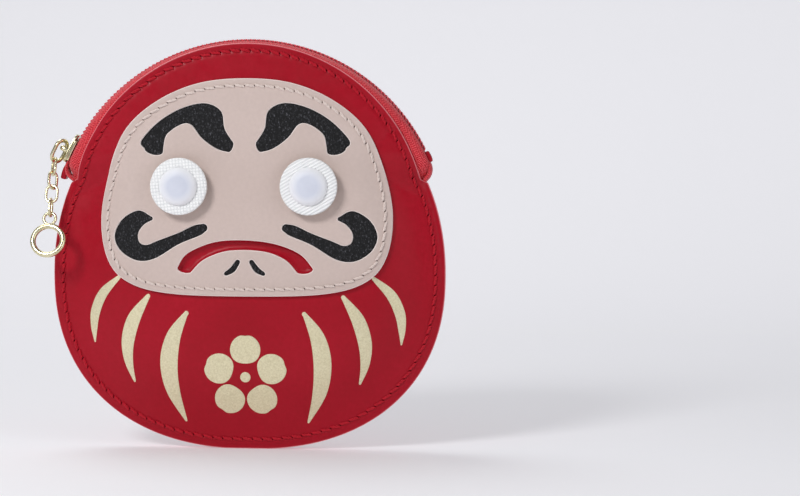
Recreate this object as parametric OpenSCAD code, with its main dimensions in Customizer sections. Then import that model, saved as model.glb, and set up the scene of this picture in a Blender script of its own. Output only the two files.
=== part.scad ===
// Daruma-shaped leather coin case: two sewn leather panels, a curved zip across the
// crown, a stitched face panel, eye discs on press studs and a chain pull with a ring.
// Upright, front towards -Y, origin at the middle of the bottom rim.

/* [Case] */
// Half width of the case at its widest level
half_w = 55.4; // [52:0.1:58]
// Height of the widest level above the bottom
waist_z = 49; // [46:0.5:52]
// Exponent of the sewn outline above the widest level, 2 is an ellipse
squareness = 2.12; // [2:0.02:2.4]
// Exponent of the sewn outline below the widest level
foot_squareness = 2.26; // [2.1:0.02:2.4]
// Thickness of the red panel leather
leather_t = 1.5; // [1.2:0.1:1.8]
// How far each panel swells near its sewn edge
swell = 3.6; // [2.5:0.1:4.2]
// How much more each panel swells towards its middle
crown_swell = 1.8; // [1:0.1:2.2]
// Thickness of the lining
lining_t = 0.4; // [0.3:0.05:0.5]

/* [Zip] */
// Height of the centre of the zip's arc
zip_z = 59.5; // [59.3:0.1:59.7]
// Height of the centre of the arc of the panels' upper edge
edge_z = 63.8; // [63.6:0.1:64]
// Radius of the panels' upper edge
edge_r = 49.9; // [49.7:0.1:50]
// Angle of the closed slider on the arc, from +X
slider_at = 153.5; // [150:0.5:154]
// Spacing of the teeth along each row
tooth_pitch = 1.25; // [1.2:0.05:1.5]

/* [Face] */
// Thickness of the face panel leather
face_t = 1.3; // [1:0.1:1.5]
// Thickness of the brow, moustache and nostril inlays
inlay_t = 0.8; // [0.6:0.1:0.9]
// Thickness of the gold ornament
foil_t = 0.15; // [0.1:0.05:0.2]

/* [Eyes] */
// Distance of each eye from the middle
eye_x = 18.05; // [17:0.05:19]
// Height of the eyes
eye_z = 74; // [73:0.5:75]
// Diameter of the eye disc
eye_d = 15.9; // [15:0.1:17]
// Diameter of the press stud's cap
cap_d = 10.5; // [9:0.1:11]
// Diameter of the press stud's head
stud_d = 4; // [3.6:0.1:4.2]

/* [Pull] */
// Outside diameter of the pull ring
ring_d = 10; // [9:0.1:10.4]
// Wire diameter of the pull ring
ring_wire = 1.2; // [1:0.1:1.3]
// Wire diameter of the chain links
link_wire = 0.75; // [0.6:0.05:0.8]
// Outside length of a chain link
link_l = 5.7; // [5.2:0.1:5.8]
// Outside width of a chain link
link_w = 3.9; // [3.7:0.1:4]
// How far the hanging chain leans forward, degrees
chain_lean = 22.4; // [22.2:0.2:23]

/* [Stitching] */
// Spacing of the stitches
stitch_pitch = 2.8; // [2.4:0.1:3.2]
// Thread diameter
thread_d = 0.5; // [0.4:0.05:0.6]
// Distance of the rim seam from the sewn edge
rim_margin = 2.8; // [2.4:0.1:3]
// Distance of the upper seam and the face seam from their edges
edge_margin = 2; // [1.8:0.1:2.2]

/* [Hidden] */
$fn = 48;

LEFT = -1;
RIGHT = 1;
FRONT = -1;
BACK = 1;

red = [0.60, 0.08, 0.13];
zip_red = [0.78, 0.16, 0.18];
beige = [0.80, 0.73, 0.70];
black = [0.09, 0.09, 0.11];
foil_gold = [0.80, 0.76, 0.62];
metal_gold = [0.78, 0.74, 0.55];
white = [0.94, 0.94, 0.94];
cap_white = [0.83, 0.84, 0.89];
lining_grey = [0.45, 0.40, 0.38];

rim_gap = 0.02;         // each panel's distance from the mid-plane at the rim
lining_room = 0.54;     // room for one lining behind each panel
touch = 0.05;           // gap left between pieces that lie on each other
sewn_gap = 0.1;         // gap left between a panel and what is sewn to it
shoulder_z = 75;        // height where the sewn rim ends and the zip begins
edge_from_z = 76;       // height where each panel's upper edge begins
upper_b = 58;           // semi-height of the outline above the widest level
swell_run = 18;         // distance over which a panel swells
crown_run = 33;         // distance over which its middle still rises
mouth_open = 4.2;       // half gap between the panels' upper edges beside the zip
gape_from_z = 70;       // height where the panels begin to stand apart for the zip
gape_run = 14;          // height over which they reach the full gap
gape_rim = 5;           // distance from the rim over which they reach it
lining_from = 0.8;      // distance from the rim where the room for the linings begins
lining_run = 1.2;
tape_room_a = 15;       // angle of the arc where the room for the tape begins
tape_room_run = 5;
rim_steps = 44;
edge_steps = 34;

// ---- helpers
function smooth(t) = let (u = min(1, max(0, t))) u * u * (3 - 2 * u);
function mix(a, b, t) = a + (b - a) * t;
function power(v, p) = sign(v) * pow(abs(v), p);
function flip(points, side) = [for (p = points) [side * p[0], p[1]]];
function reversed(list) = [for (i = [len(list) - 1:-1:0]) list[i]];
function arc_point(r, a) = [r * cos(a), zip_z + r * sin(a)];
function edge_point(r, a) = [r * cos(a), edge_z + r * sin(a)];

// Catmull-Rom curve through control points
function spline(a, b, c, d, t) = 0.5 * (2 * b + (c - a) * t
    + (2 * a - 5 * b + 4 * c - d) * t * t + (3 * b - a - 3 * c + d) * t * t * t);
function open_curve(p, n) = let (m = len(p) - 1) concat(
    [for (i = [0:m - 1]) for (j = [0:n - 1])
        spline(p[max(0, i - 1)], p[i], p[i + 1], p[min(m, i + 2)], j / n)],
    [p[m]]);
function closed_curve(p, n) = let (m = len(p)) [for (i = [0:m - 1]) for (j = [0:n - 1])
    spline(p[(i + m - 1) % m], p[i], p[(i + 1) % m], p[(i + 2) % m], j / n)];

// ---- outline of the case
shoulder_a = asin(pow((shoulder_z - waist_z) / upper_b, squareness / 2));
function sewn_point(a) = let (high = sin(a) > 0, q = 2 / (high ? squareness : foot_squareness))
    [half_w * power(cos(a), q),
        max(0, waist_z + (high ? upper_b : waist_z + 0.15) * power(sin(a), q))];
// Sewn edge, from the right shoulder down round the bottom to the left shoulder
sewn = [for (i = [0:rim_steps])
    sewn_point(mix(shoulder_a, -180 - shoulder_a, i / rim_steps))];
edge_a = asin((edge_from_z - edge_z) / edge_r);
// Upper edge, from the left shoulder over the top to the right shoulder
upper = [for (i = [0:edge_steps]) edge_point(edge_r, mix(180 - edge_a, edge_a, i / edge_steps))];
case_outline = concat(sewn, upper);
case_centre = [0, 56];
through = 20;           // length of a cutter that passes right through the case

// ---- swelling of the panels
function near(p, a, b) = let (v = b - a, t = min(1, max(0, (p - a) * v / (v * v))))
    norm(p - a - v * t);
function rim_distance(p) = min([for (i = [0:len(sewn) - 2]) near(p, sewn[i], sewn[i + 1])]);
// Distance of a panel's inner surface from the mid-plane
function inner(p) = let (d = rim_distance(p),
        bulge = swell * smooth((d - rim_margin) / swell_run)
            + crown_swell * smooth(d / crown_run),
        gape = mouth_open * smooth((p[1] - gape_from_z) / gape_run) * smooth(d / gape_rim))
    rim_gap + lining_room * smooth((d - lining_from) / lining_run) + max(bulge, gape);
function outer(p) = inner(p) + leather_t;
// Room for the zip's tape between a panel and its lining
function tape_room(p) = let (v = p - [0, zip_z], a = atan2(v[1], abs(v[0])))
    (tape_t + 0.12) * smooth((a - tape_room_a) / tape_room_run)
        * smooth((norm(v) - tape_edge_r + 4) / 2);
// Distance of a lining's outer surface from the mid-plane
function lined(p) = max(rim_gap + lining_t, inner(p) - touch - tape_room(p));
plateau = rim_gap + lining_room + swell + crown_swell + leather_t;

// ---- solids that follow the panels
function grid_points(edge, centre, rings) = concat([centre],
    [for (f = rings) for (p = edge) centre + (p - centre) * f]);
function cap_faces(n, m, base, up) = let (f = concat(
        [for (i = [0:n - 1]) [base, base + 1 + i, base + 1 + (i + 1) % n]],
        [for (k = [0:m - 2]) for (i = [0:n - 1])
            let (a = base + 1 + k * n, b = a + n, j = (i + 1) % n)
            each [[a + i, b + i, b + j], [a + i, b + j, a + j]]]))
    up ? f : [for (t = f) reversed(t)];
// Closed slab between two surfaces; edge is a list of [x, z] seen from the front
module slab(edge, centre, rings, low, high, side) {
    g = grid_points(edge, centre, rings);
    n = len(edge);
    m = len(rings);
    pts = concat([for (i = [0:len(g) - 1]) [g[i][0], side * low[i], g[i][1]]],
        [for (i = [0:len(g) - 1]) [g[i][0], side * high[i], g[i][1]]]);
    base = len(g);
    rim = 1 + (m - 1) * n;
    wall = [for (i = [0:n - 1]) let (a = rim + i, b = rim + (i + 1) % n)
        each [[a, b, base + b], [a, base + b, base + a]]];
    faces = concat(cap_faces(n, m, 0, false), cap_faces(n, m, base, true), wall);
    polyhedron(pts, side == FRONT ? [for (t = faces) reversed(t)] : faces);
}
// Thin piece on a panel: lift is the height of its underside above the leather
module applied(edge, centre, rings, lift, t, side = FRONT) {
    over = [for (p = grid_points(edge, centre, rings)) outer(p) + lift];
    slab(edge, centre, rings, over, over + [for (v = over) t], side);
}
// Crescent between two edge curves with the same number of points
module ribbon(outside, inside, lift, t) {
    n = len(outside);
    pts = [for (i = [0:n - 1]) for (q = [outside[i], inside[i]])
        let (y = outer(q) + lift) each [[q[0], -y, q[1]], [q[0], -y - t, q[1]]]];
    quads = [for (i = [0:n - 2]) let (a = 4 * i, b = a + 4) each [
        [a, b, b + 2, a + 2], [a + 1, a + 3, b + 3, b + 1],
        [a, a + 1, b + 1, b], [a + 2, b + 2, b + 3, a + 3]]];
    ends = [[0, 2, 3, 1], [4 * n - 4, 4 * n - 3, 4 * n - 1, 4 * n - 2]];
    faces = [for (q = concat(quads, ends)) each [[q[0], q[1], q[2]], [q[0], q[2], q[3]]]];
    turned = (outside[1][0] - outside[0][0]) * (inside[0][1] - outside[0][1])
        - (outside[1][1] - outside[0][1]) * (inside[0][0] - outside[0][0]) > 0;
    polyhedron(pts, turned ? faces : [for (t = faces) reversed(t)]);
}
function ring_of(pair) = concat(pair[0], reversed(pair[1]));
window_from = 4;        // depth where the cutters for the face panel begin
window_l = 8;
// Cutter through the face panel
module window(points) {
    translate([0, -window_from, 0]) rotate([90, 0, 0]) linear_extrude(window_l) polygon(points);
}

// ---- shapes of the face, right-hand side unless named
face_half = [[0, 103.9], [13, 102.6], [24.5, 97.8], [33.3, 90.2], [38.2, 79.5],
    [40.9, 66], [39.2, 54.2], [33.4, 47.4], [21.5, 44.1]];
face_control = concat(face_half, [[0, 43.4]],
    [for (i = [len(face_half) - 1:-1:1]) [-face_half[i][0], face_half[i][1]]]);
face_outline = closed_curve(face_control, 4);
face_centre = [0, 72];

brow_top = open_curve([[28, 83.4], [29.2, 86], [24, 92], [17.5, 95.7], [11, 97],
    [6.6, 94.8], [5.6, 90], [3.4, 86.4]], 4);
brow_low = open_curve([[24.4, 82.8], [22.8, 84.6], [22.2, 88.6], [18.2, 91.4], [15, 91.1],
    [12, 87.4], [8, 84.5], [4.6, 83.5]], 4);
moustache_top = open_curve([[26.4, 65.6], [30, 67.2], [34.6, 64.7], [36.8, 60.3], [35.2, 56.1],
    [30.6, 53.3], [25.4, 53.8], [18.6, 57.8], [12.6, 60.4], [11, 61.9]], 3);
moustache_low = open_curve([[26.4, 64.4], [28.2, 63.4], [29.7, 61.6], [30.1, 59.8], [29.4, 58.1],
    [27.4, 57.6], [24.4, 58.8], [18.6, 61], [14.2, 63.3], [11.6, 63.4]], 3);
mouth_top = open_curve([[-19, 51.2], [-16.2, 55.2], [-8.6, 58.4], [0, 59], [8.4, 58],
    [15.4, 55.2], [19.1, 51.1]], 4);
mouth_low = open_curve([[-14.8, 50.4], [-11.6, 53.5], [-6, 55.8], [0.4, 56.3], [6.6, 55.6],
    [11.4, 53.5], [14.2, 50.6]], 4);
nostril_out = open_curve([[5.4, 49.2], [2.9, 50.2], [1.2, 52.8]], 4);
nostril_in = open_curve([[5.7, 50], [3.9, 51.3], [2.3, 53.3]], 4);
brow = [brow_top, brow_low];
moustache = [moustache_top, moustache_low];
nostril = [nostril_out, nostril_in];

stroke_inner = [open_curve([[16.8, 39.2], [22, 33], [24.1, 25], [22.6, 16], [17.6, 7.6]], 4),
    open_curve([[16.4, 37.6], [18.3, 31], [19.1, 23.5], [18.6, 16], [17, 8]], 4)];
stroke_middle = [open_curve([[27.7, 43.8], [33, 38], [35.2, 31], [34.6, 24.5], [32.1, 18.7]], 4),
    open_curve([[27.1, 42.6], [29.8, 36], [31.6, 29.5], [32, 24], [31.5, 19.2]], 4)];
stroke_outer = [open_curve([[36, 49], [41.4, 45], [44.2, 39.5], [44.5, 34.5], [43.5, 29.8]], 4),
    open_curve([[35.6, 48], [39.4, 43], [41.6, 38], [42.5, 33.5], [43, 30.2]], 4)];
strokes = [stroke_inner, stroke_middle, stroke_outer];

blossom_at = [0, 20.7];
petal_r = 4.3;
petal_out = 7.7;
heart_r = 1.5;          // dot in the middle of the blossom
petal_waist = 0.1;      // share by which a petal narrows towards the middle
petal_notch = 0.08;     // share by which its outer edge is notched
function petal_size(b) = petal_r * (1 - petal_waist * smooth(1 - abs(b - 180) / 55)
    - petal_notch * smooth(1 - min(b, 360 - b) / 22));
function petal(a) = let (c = blossom_at + petal_out * [sin(a), cos(a)])
    [for (i = [0:19]) let (b = 18 * i) c + petal_size(b) * [sin(a + b), cos(a + b)]];

// ---- case
case_rings = [0.25, 0.45, 0.58, 0.68, 0.76, 0.83, 0.88, 0.92, 0.955, 0.98, 1];
lining_rings = [for (i = [0:8]) case_rings[i]];
module panel_skin(side) {
    low = [for (p = grid_points(case_outline, case_centre, case_rings)) inner(p)];
    slab(case_outline, case_centre, case_rings, low, low + [for (v = low) leather_t], side);
}
module stud_holes() {
    for (s = [LEFT, RIGHT]) at_eye(s) cylinder(d = rivet_d + 0.1, h = through, center = true);
}
module front_panel() {
    color(red) difference() {
        panel_skin(FRONT);
        stud_holes();
    }
}
module back_panel() {
    color(red) panel_skin(BACK);
}
module lining(side) {
    high = [for (p = grid_points(case_outline, case_centre, lining_rings)) lined(p)];
    low = high - [for (v = high) lining_t];
    color(lining_grey) slab(case_outline, case_centre, lining_rings, low, high, side);
}
module front_lining() {
    difference() {
        lining(FRONT);
        color(lining_grey)
            for (s = [LEFT, RIGHT]) at_eye(s) cylinder(d = flange_d + 0.4, h = through, center = true);
    }
}
module back_lining() {
    lining(BACK);
}

// ---- face
face_rings = [0.25, 0.48, 0.68, 0.84, 0.94, 1];
module face_panel() {
    color(beige) difference() {
        applied(face_outline, face_centre, face_rings, sewn_gap, face_t);
        for (s = [LEFT, RIGHT]) {
            window(flip(ring_of(brow), s));
            window(flip(ring_of(moustache), s));
            window(flip(ring_of(nostril), s));
        }
        window(ring_of([mouth_top, mouth_low]));
        stud_holes();
    }
}
module inlay(pair, side) {
    color(black) ribbon(flip(pair[0], side), flip(pair[1], side), sewn_gap, inlay_t);
}
module brow_left() {
    inlay(brow, LEFT);
}
module brow_right() {
    inlay(brow, RIGHT);
}
module moustache_left() {
    inlay(moustache, LEFT);
}
module moustache_right() {
    inlay(moustache, RIGHT);
}
module nostril_inlays() {
    inlay(nostril, LEFT);
    inlay(nostril, RIGHT);
}

// ---- gold ornament
module gold_strokes(side) {
    color(foil_gold) for (s = strokes)
        ribbon(flip(s[0], side), flip(s[1], side), touch, foil_t);
}
module gold_strokes_left() {
    gold_strokes(LEFT);
}
module gold_strokes_right() {
    gold_strokes(RIGHT);
}
module gold_blossom() {
    color(foil_gold) {
        for (k = [0:4])
            applied(petal(72 * k), blossom_at + petal_out * [sin(72 * k), cos(72 * k)],
                [0.5, 1], touch, foil_t);
        applied([for (i = [0:15]) blossom_at + heart_r * [sin(22.5 * i), cos(22.5 * i)]],
            blossom_at, [1], touch, foil_t);
    }
}

// ---- stitching: each stitch is a short length of thread lying on the leather
function path_length(p) = [for (i = 0, s = 0; i < len(p);
    s = s + (i + 1 < len(p) ? norm(p[i + 1] - p[i]) : 0), i = i + 1) s];
function along(p, lengths, s) = let (k = max([for (i = [0:len(p) - 2]) lengths[i] <= s ? i : 0]),
    t = (s - lengths[k]) / (lengths[k + 1] - lengths[k])) mix(p[k], p[k + 1], min(1, t));
module thread(a, b) {
    v = b - a;
    translate(a) rotate([0, acos(v[2] / norm(v)), atan2(v[1], v[0])])
        cylinder(d = thread_d, h = norm(v), $fn = 16);
}
thread_lift = 0.16;     // height of a thread above the leather at its ends
// lift is the height of the leather's face above the panel
module seam(path, lift, side) {
    lengths = path_length(path);
    total = lengths[len(path) - 1];
    count = floor(total / stitch_pitch);
    rise = lift + thread_d / 2 + thread_lift;
    for (k = [0:count - 1]) {
        a = along(path, lengths, (k + 0.15) * total / count);
        b = along(path, lengths, (k + 0.85) * total / count);
        thread([a[0], side * (outer(a) + rise), a[1]], [b[0], side * (outer(b) + rise), b[1]]);
    }
}
function inset(points, centre, d) = [for (p = points)
    p - (p - centre) * d / norm(p - centre)];
rim_path = inset([for (i = [1:rim_steps - 1]) sewn[i]], case_centre, rim_margin);
upper_path = [for (i = [0:2 * edge_steps])
    edge_point(edge_r - edge_margin, mix(180 - edge_a - 1, edge_a + 1, i / (2 * edge_steps)))];
module rim_stitching() {
    color(red) for (side = [FRONT, BACK]) seam(rim_path, 0, side);
}
module upper_stitching() {
    color(red) for (side = [FRONT, BACK]) seam(upper_path, 0, side);
}
module face_stitching() {
    edge = inset(face_outline, face_centre, edge_margin);
    color(beige) seam(concat(edge, [edge[0]]), sewn_gap + face_t, FRONT);
}

// ---- zip
tape_r = 54.55;         // outer face of the flat part of the tape
tape_t = 0.5;
tape_edge_r = 47.5;     // inner edge of the tape, under the panel
tape_from = 21.5;       // angle where the tape leaves the right end tab
tape_flat = 3.6;        // half width of the zip where the tape starts to fold down
tape_bend = 0.9;        // least width of the bend between there and the panel
tape_bend_at = 0.62;    // share of the bend's width at its middle height
tape_fold_r = tape_r - 1.55;    // where the tape meets the panel
tape_gap = 0.75;        // half gap between the tapes under the teeth
tape_steps = 46;
teeth_low = tape_r + touch;
teeth_h = 1.1;
tooth_l = 2.35;         // length of a tooth across the zip
tooth_t = 0.5;          // thickness of a tooth along the zip
front_reach = -1.9;     // where the teeth of the front row start
back_reach = -0.45;     // where the teeth of the back row start
teeth_end = 0.6;        // angle left free at each end of the teeth
tab_a = 3.2;            // length of an end tab, as an angle
tab_t = 1.4;
tab_half = 1.7;         // half its width
right_tab_a = 22.6;     // where the right end tab starts
left_tab_a = 159;        // where the left end tab starts
plate_t = 0.8;
plate_a = 4.5;          // half the slider's length, as an angle
outer_half = 3.3;       // half the width of the outer plate
inner_half = 2.6;       // half the width of the inner plate
flange_at = 2.8;        // distance of each side flange from the middle
flange_t = 1;
post_t = 1;
outer_plate_r = tape_r + 1.4;
inner_plate_r = tape_r - 1.6;
post_a = 1.8;           // length of the slider's post, as an angle
teeth_from = right_tab_a + tab_a + teeth_end;
teeth_to = slider_at + plate_a - post_a - teeth_end;
// Cross-section of one tape at an angle of the arc, as [radius, y]
function tape_section(a) = let (
        h = function(r) inner(arc_point(r, a)) - sewn_gap,
        flat = min(tape_flat, h(tape_fold_r) - tape_bend),
        out = [[tape_r, tape_gap], [tape_r, flat],
            [tape_r - 0.55, mix(flat, h(tape_fold_r), tape_bend_at)], [tape_fold_r, h(tape_fold_r)],
            [tape_fold_r - 2.5, h(tape_fold_r - 2.5)], [tape_edge_r, h(tape_edge_r)]])
    concat(out, [for (i = [5:-1:0]) out[i] - (i > 2 ? [0, tape_t]
        : i == 2 ? [0.8, 0.7] * tape_t : [tape_t, 0])]);
module tape(side) {
    n = 12;
    pts = [for (k = [0:tape_steps]) let (a = mix(tape_from, 180 - tape_from, k / tape_steps))
        for (q = tape_section(a)) [q[0] * cos(a), side * q[1], zip_z + q[0] * sin(a)]];
    walls = [for (k = [0:tape_steps - 1]) for (i = [0:n - 1])
        let (a = k * n + i, b = k * n + (i + 1) % n)
        each [[a, b, b + n], [a, b + n, a + n]]];
    strip = function(base, up) [for (i = [0:4]) let (a = base + i, b = base + 11 - i)
        each up ? [[a, a + 1, b - 1], [a, b - 1, b]] : [[a, b - 1, a + 1], [a, b, b - 1]]];
    faces = concat(walls, strip(0, false), strip(tape_steps * n, true));
    color(zip_red) polyhedron(pts, side == FRONT ? [for (t = faces) reversed(t)] : faces);
}
module zip_tape_front() {
    tape(FRONT);
}
module zip_tape_back() {
    tape(BACK);
}
module at_arc(a) {
    translate([0, 0, zip_z]) rotate([0, -a, 0]) children();
}
module teeth(side) {
    step = tooth_pitch / (teeth_low + teeth_h / 2) * 180 / PI;
    count = floor((teeth_to - teeth_from) / step);
    first = teeth_from + (side == FRONT ? 0 : step / 2);
    reach = side == FRONT ? front_reach : back_reach;
    color(zip_red) for (k = [0:count - 1])
        at_arc(first + k * step) translate([teeth_low, reach, -tooth_t / 2])
            cube([teeth_h, tooth_l, tooth_t]);
}
module zip_teeth_front() {
    teeth(FRONT);
}
module zip_teeth_back() {
    teeth(BACK);
}
// Ring segment about the zip's arc: radii r1 to r2, y1 to y2, angles a1 to a2
module segment(r1, r2, y1, y2, a1, a2) {
    translate([0, 0, zip_z]) rotate([90, 0, 0]) rotate_extrude(start = a1, angle = a2 - a1, $fn = 96)
        translate([r1, -y2]) square([r2 - r1, y2 - y1]);
}
// Strip of leather folded over the end of the zip
module zip_end_tab(a) {
    color(red) segment(teeth_low, teeth_low + tab_t, -tab_half, tab_half, a, a + tab_a);
}
module zip_end_tab_left() {
    zip_end_tab(left_tab_a);
}
module zip_end_tab_right() {
    zip_end_tab(right_tab_a);
}
bail_r = outer_plate_r + plate_t;
bail_open = 1.8;        // clear height under the bail
bail_half = 1.9;        // half the clear width of the bail
bail_t = 0.7;           // thickness of its strap
bail_l = 1.4;           // its length along the zip
bail_at = 0.3;          // where it starts, from the slider's middle
module zip_slider() {
    a1 = slider_at - plate_a;
    a2 = slider_at + plate_a;
    color(metal_gold) union() {
        segment(outer_plate_r, outer_plate_r + plate_t, -outer_half, outer_half, a1, a2);
        segment(inner_plate_r, inner_plate_r + plate_t, -inner_half, inner_half, a1, a2);
        for (side = [-1, 1])
            segment(tape_r + 0.3, outer_plate_r + 0.1, side * flange_at - flange_t / 2,
                side * flange_at + flange_t / 2, a1, a2);
        // post that parts the two rows of teeth
        segment(inner_plate_r + plate_t - 0.1, outer_plate_r + 0.1, -post_t / 2, post_t / 2,
            a2 - post_a, a2);
        // bail that holds the pull loop
        at_arc(slider_at) translate([0, 0, bail_at]) {
            for (side = [-1, 1])
                translate([bail_r - 0.15, side * (bail_half + bail_t / 2) - bail_t / 2, 0])
                    cube([bail_open + 0.35, bail_t, bail_l]);
            translate([bail_r + bail_open, -bail_half - bail_t, 0])
                cube([bail_t, 2 * (bail_half + bail_t), bail_l]);
        }
    }
}

// ---- pull chain
// Link lying in the XZ plane, centred at the origin, long way along Z
module link(w, l, wire) {
    bend = (w - wire) / 2;
    straight = l - w;
    for (s = [0, 1]) rotate([0, 180 * s, 0]) translate([0, 0, straight / 2]) rotate([90, 0, 0])
        rotate_extrude(start = 0, angle = 180, $fn = 64) translate([bend, 0]) circle(d = wire, $fn = 24);
    for (s = [-1, 1]) translate([s * bend, 0, -straight / 2])
        cylinder(d = wire, h = straight, $fn = 24);
}
loop_w = 5.4;
loop_l = 7.6;
loop_wire = 1;
loop_tilt = 57;         // turn of the loop about its side in the bail
loop_drop = 2.2;        // how far the loop has slid down through the bail
bail_mid = bail_r + bail_open / 2;
module pull_loop() {
    color(metal_gold) at_arc(slider_at) translate([bail_mid, 0, loop_drop])
        rotate([0, 0, -loop_tilt]) translate([(loop_w - loop_wire) / 2, 0, 0])
            link(loop_w, loop_l, loop_wire);
}
// Middle of the wire at the loop's lower end
loop_side = (loop_w - loop_wire) / 2;
loop_x = bail_mid + loop_side * cos(loop_tilt);
loop_end = loop_drop + (loop_l - loop_wire) / 2;
chain_top = [loop_x * cos(slider_at) - loop_end * sin(slider_at), -loop_side * sin(loop_tilt),
    zip_z + loop_x * sin(slider_at) + loop_end * cos(slider_at)];
slack = 0.06;           // clearance between two wires that hang in each other
first_drop = (loop_wire + link_wire) / 2 + slack - (link_l - link_wire) / 2;
link_step = link_l - 2 * link_wire - slack;
module on_chain(down, turn) {
    translate(chain_top) rotate([-chain_lean, 0, 0]) translate([0, 0, down]) rotate([0, 0, turn])
        children();
}
link_turns = [118, 58, 0, 90];
module chain_link(k) {
    color(metal_gold) on_chain(first_drop - (k - 1) * link_step, link_turns[k - 1])
        link(link_w, link_l, link_wire);
}
module chain_link_1() {
    chain_link(1);
}
module chain_link_2() {
    chain_link(2);
}
module chain_link_3() {
    chain_link(3);
}
module chain_link_4() {
    chain_link(4);
}
eyelet_r = 1.7;
eyelet_wire = 0.85;
eyelet_sweep = 310;     // angle of the bent eyelet, open where it joins the ring
ring_r = (ring_d - ring_wire) / 2;
eyelet_up = ring_r + eyelet_r + 0.4;
eyelet_down = first_drop - 3 * link_step - (link_l - link_wire) / 2
    + (link_wire + eyelet_wire) / 2 + slack - eyelet_r;
ring_drop = eyelet_down - eyelet_up;
module pull_ring() {
    color(metal_gold) on_chain(ring_drop, 0) rotate([90, 0, 0]) union() {
        rotate_extrude($fn = 96) translate([ring_r, 0]) circle(d = ring_wire, $fn = 32);
        translate([0, eyelet_up, 0])
            rotate_extrude(start = 90 - eyelet_sweep / 2, angle = eyelet_sweep, $fn = 64)
                translate([eyelet_r, 0]) circle(d = eyelet_wire, $fn = 24);
    }
}

// ---- eyes: a stud riveted through the panels, and a disc that presses on to it
rivet_d = 2.8;
flange_d = 9;
base_t = 0.5;
disc_t = 1.3;
face_y = plateau + sewn_gap + face_t;      // front of the face panel
base_y = face_y + touch;
head_y = base_y + base_t;
head_h = 1.9;
socket_y = head_y + 0.2;
socket_h = 1.65;
disc_y = socket_y + socket_h + touch;
cap_y = disc_y + disc_t + touch;
cap_h = 2;
bore_d = stud_d + 0.12;
rim_low = 0.5;          // height of the cap's straight side
module at_eye(side) {
    translate([side * eye_x, 0, eye_z]) rotate([90, 0, 0]) children();
}
module eye_stud(side) {
    color(metal_gold) at_eye(side) difference() {
        union() {
            translate([0, 0, base_y]) cylinder(d = flange_d, h = base_t);
            translate([0, 0, head_y]) cylinder(d = stud_d, h = head_h);
        }
        translate([0, 0, base_y - 1]) cylinder(d = rivet_d + 0.06, h = 2.2);
    }
}
module stud_back(side) {
    y = plateau - leather_t - 3 * touch - base_t;
    color(metal_gold) at_eye(side) {
        translate([0, 0, y]) cylinder(d = flange_d - 0.6, h = base_t);
        translate([0, 0, y + base_t]) cylinder(d = rivet_d, h = base_y + 1 - y - base_t);
    }
}
module eye_socket(side) {
    color(metal_gold) at_eye(side) translate([0, 0, socket_y]) difference() {
        cylinder(d = cap_d, h = socket_h);
        translate([0, 0, -1]) cylinder(d = bore_d, h = socket_h + 2);
    }
}
module eye_disc(side) {
    color(white) at_eye(side) translate([0, 0, disc_y]) difference() {
        cylinder(d = eye_d, h = disc_t, $fn = 96);
        translate([0, 0, -1]) cylinder(d = rivet_d + 0.1, h = disc_t + 2);
    }
}
module eye_cap(side) {
    color(cap_white) at_eye(side) translate([0, 0, cap_y]) union() {
        rotate_extrude($fn = 96) polygon([[0, 0], [cap_d / 2, 0], [cap_d / 2, rim_low],
            [cap_d / 2 - 0.3, 1.15], [cap_d / 2 - 0.9, 1.6], [cap_d / 2 - 1.7, 1.85],
            [cap_d / 2 - 2.7, cap_h], [0, cap_h]]);
        translate([0, 0, -disc_t]) cylinder(d = rivet_d, h = disc_t + 0.1);
    }
}
module eye_stud_left() {
    eye_stud(LEFT);
}
module eye_stud_right() {
    eye_stud(RIGHT);
}
module stud_back_left() {
    stud_back(LEFT);
}
module stud_back_right() {
    stud_back(RIGHT);
}
module eye_socket_left() {
    eye_socket(LEFT);
}
module eye_socket_right() {
    eye_socket(RIGHT);
}
module eye_disc_left() {
    eye_disc(LEFT);
}
module eye_disc_right() {
    eye_disc(RIGHT);
}
module eye_cap_left() {
    eye_cap(LEFT);
}
module eye_cap_right() {
    eye_cap(RIGHT);
}

front_panel();
back_panel();
front_lining();
back_lining();
face_panel();
brow_left();
brow_right();
moustache_left();
moustache_right();
nostril_inlays();
gold_strokes_left();
gold_strokes_right();
gold_blossom();
rim_stitching();
upper_stitching();
face_stitching();
zip_tape_front();
zip_tape_back();
zip_teeth_front();
zip_teeth_back();
zip_end_tab_left();
zip_end_tab_right();
zip_slider();
pull_loop();
chain_link_1();
chain_link_2();
chain_link_3();
chain_link_4();
pull_ring();
eye_stud_left();
eye_stud_right();
stud_back_left();
stud_back_right();
eye_socket_left();
eye_socket_right();
eye_disc_left();
eye_disc_right();
eye_cap_left();
eye_cap_right();
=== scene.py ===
"""Looks of the daruma-shaped leather coin case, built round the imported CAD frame.

Lengths inside the shape code are millimetres; MM turns them into metres when a mesh is made.
The case stands on its rim, x to the right, z up, and its face looks along -Y.
"""

import math

import bpy
import numpy as np
from mathutils import Matrix, Vector
from mathutils.geometry import delaunay_2d_cdt


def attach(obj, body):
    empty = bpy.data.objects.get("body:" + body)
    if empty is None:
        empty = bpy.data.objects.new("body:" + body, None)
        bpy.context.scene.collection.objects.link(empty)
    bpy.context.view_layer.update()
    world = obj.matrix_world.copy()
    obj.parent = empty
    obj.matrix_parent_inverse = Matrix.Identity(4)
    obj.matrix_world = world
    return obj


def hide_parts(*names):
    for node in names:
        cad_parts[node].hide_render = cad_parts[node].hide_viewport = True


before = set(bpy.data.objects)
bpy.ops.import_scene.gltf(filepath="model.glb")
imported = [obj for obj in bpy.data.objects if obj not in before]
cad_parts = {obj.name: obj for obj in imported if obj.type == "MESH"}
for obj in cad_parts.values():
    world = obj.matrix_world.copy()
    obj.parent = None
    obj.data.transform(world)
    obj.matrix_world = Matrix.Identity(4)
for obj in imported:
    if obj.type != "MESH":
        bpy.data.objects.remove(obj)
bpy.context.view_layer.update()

MM = 0.001
LEFT, RIGHT = -1, 1
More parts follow.
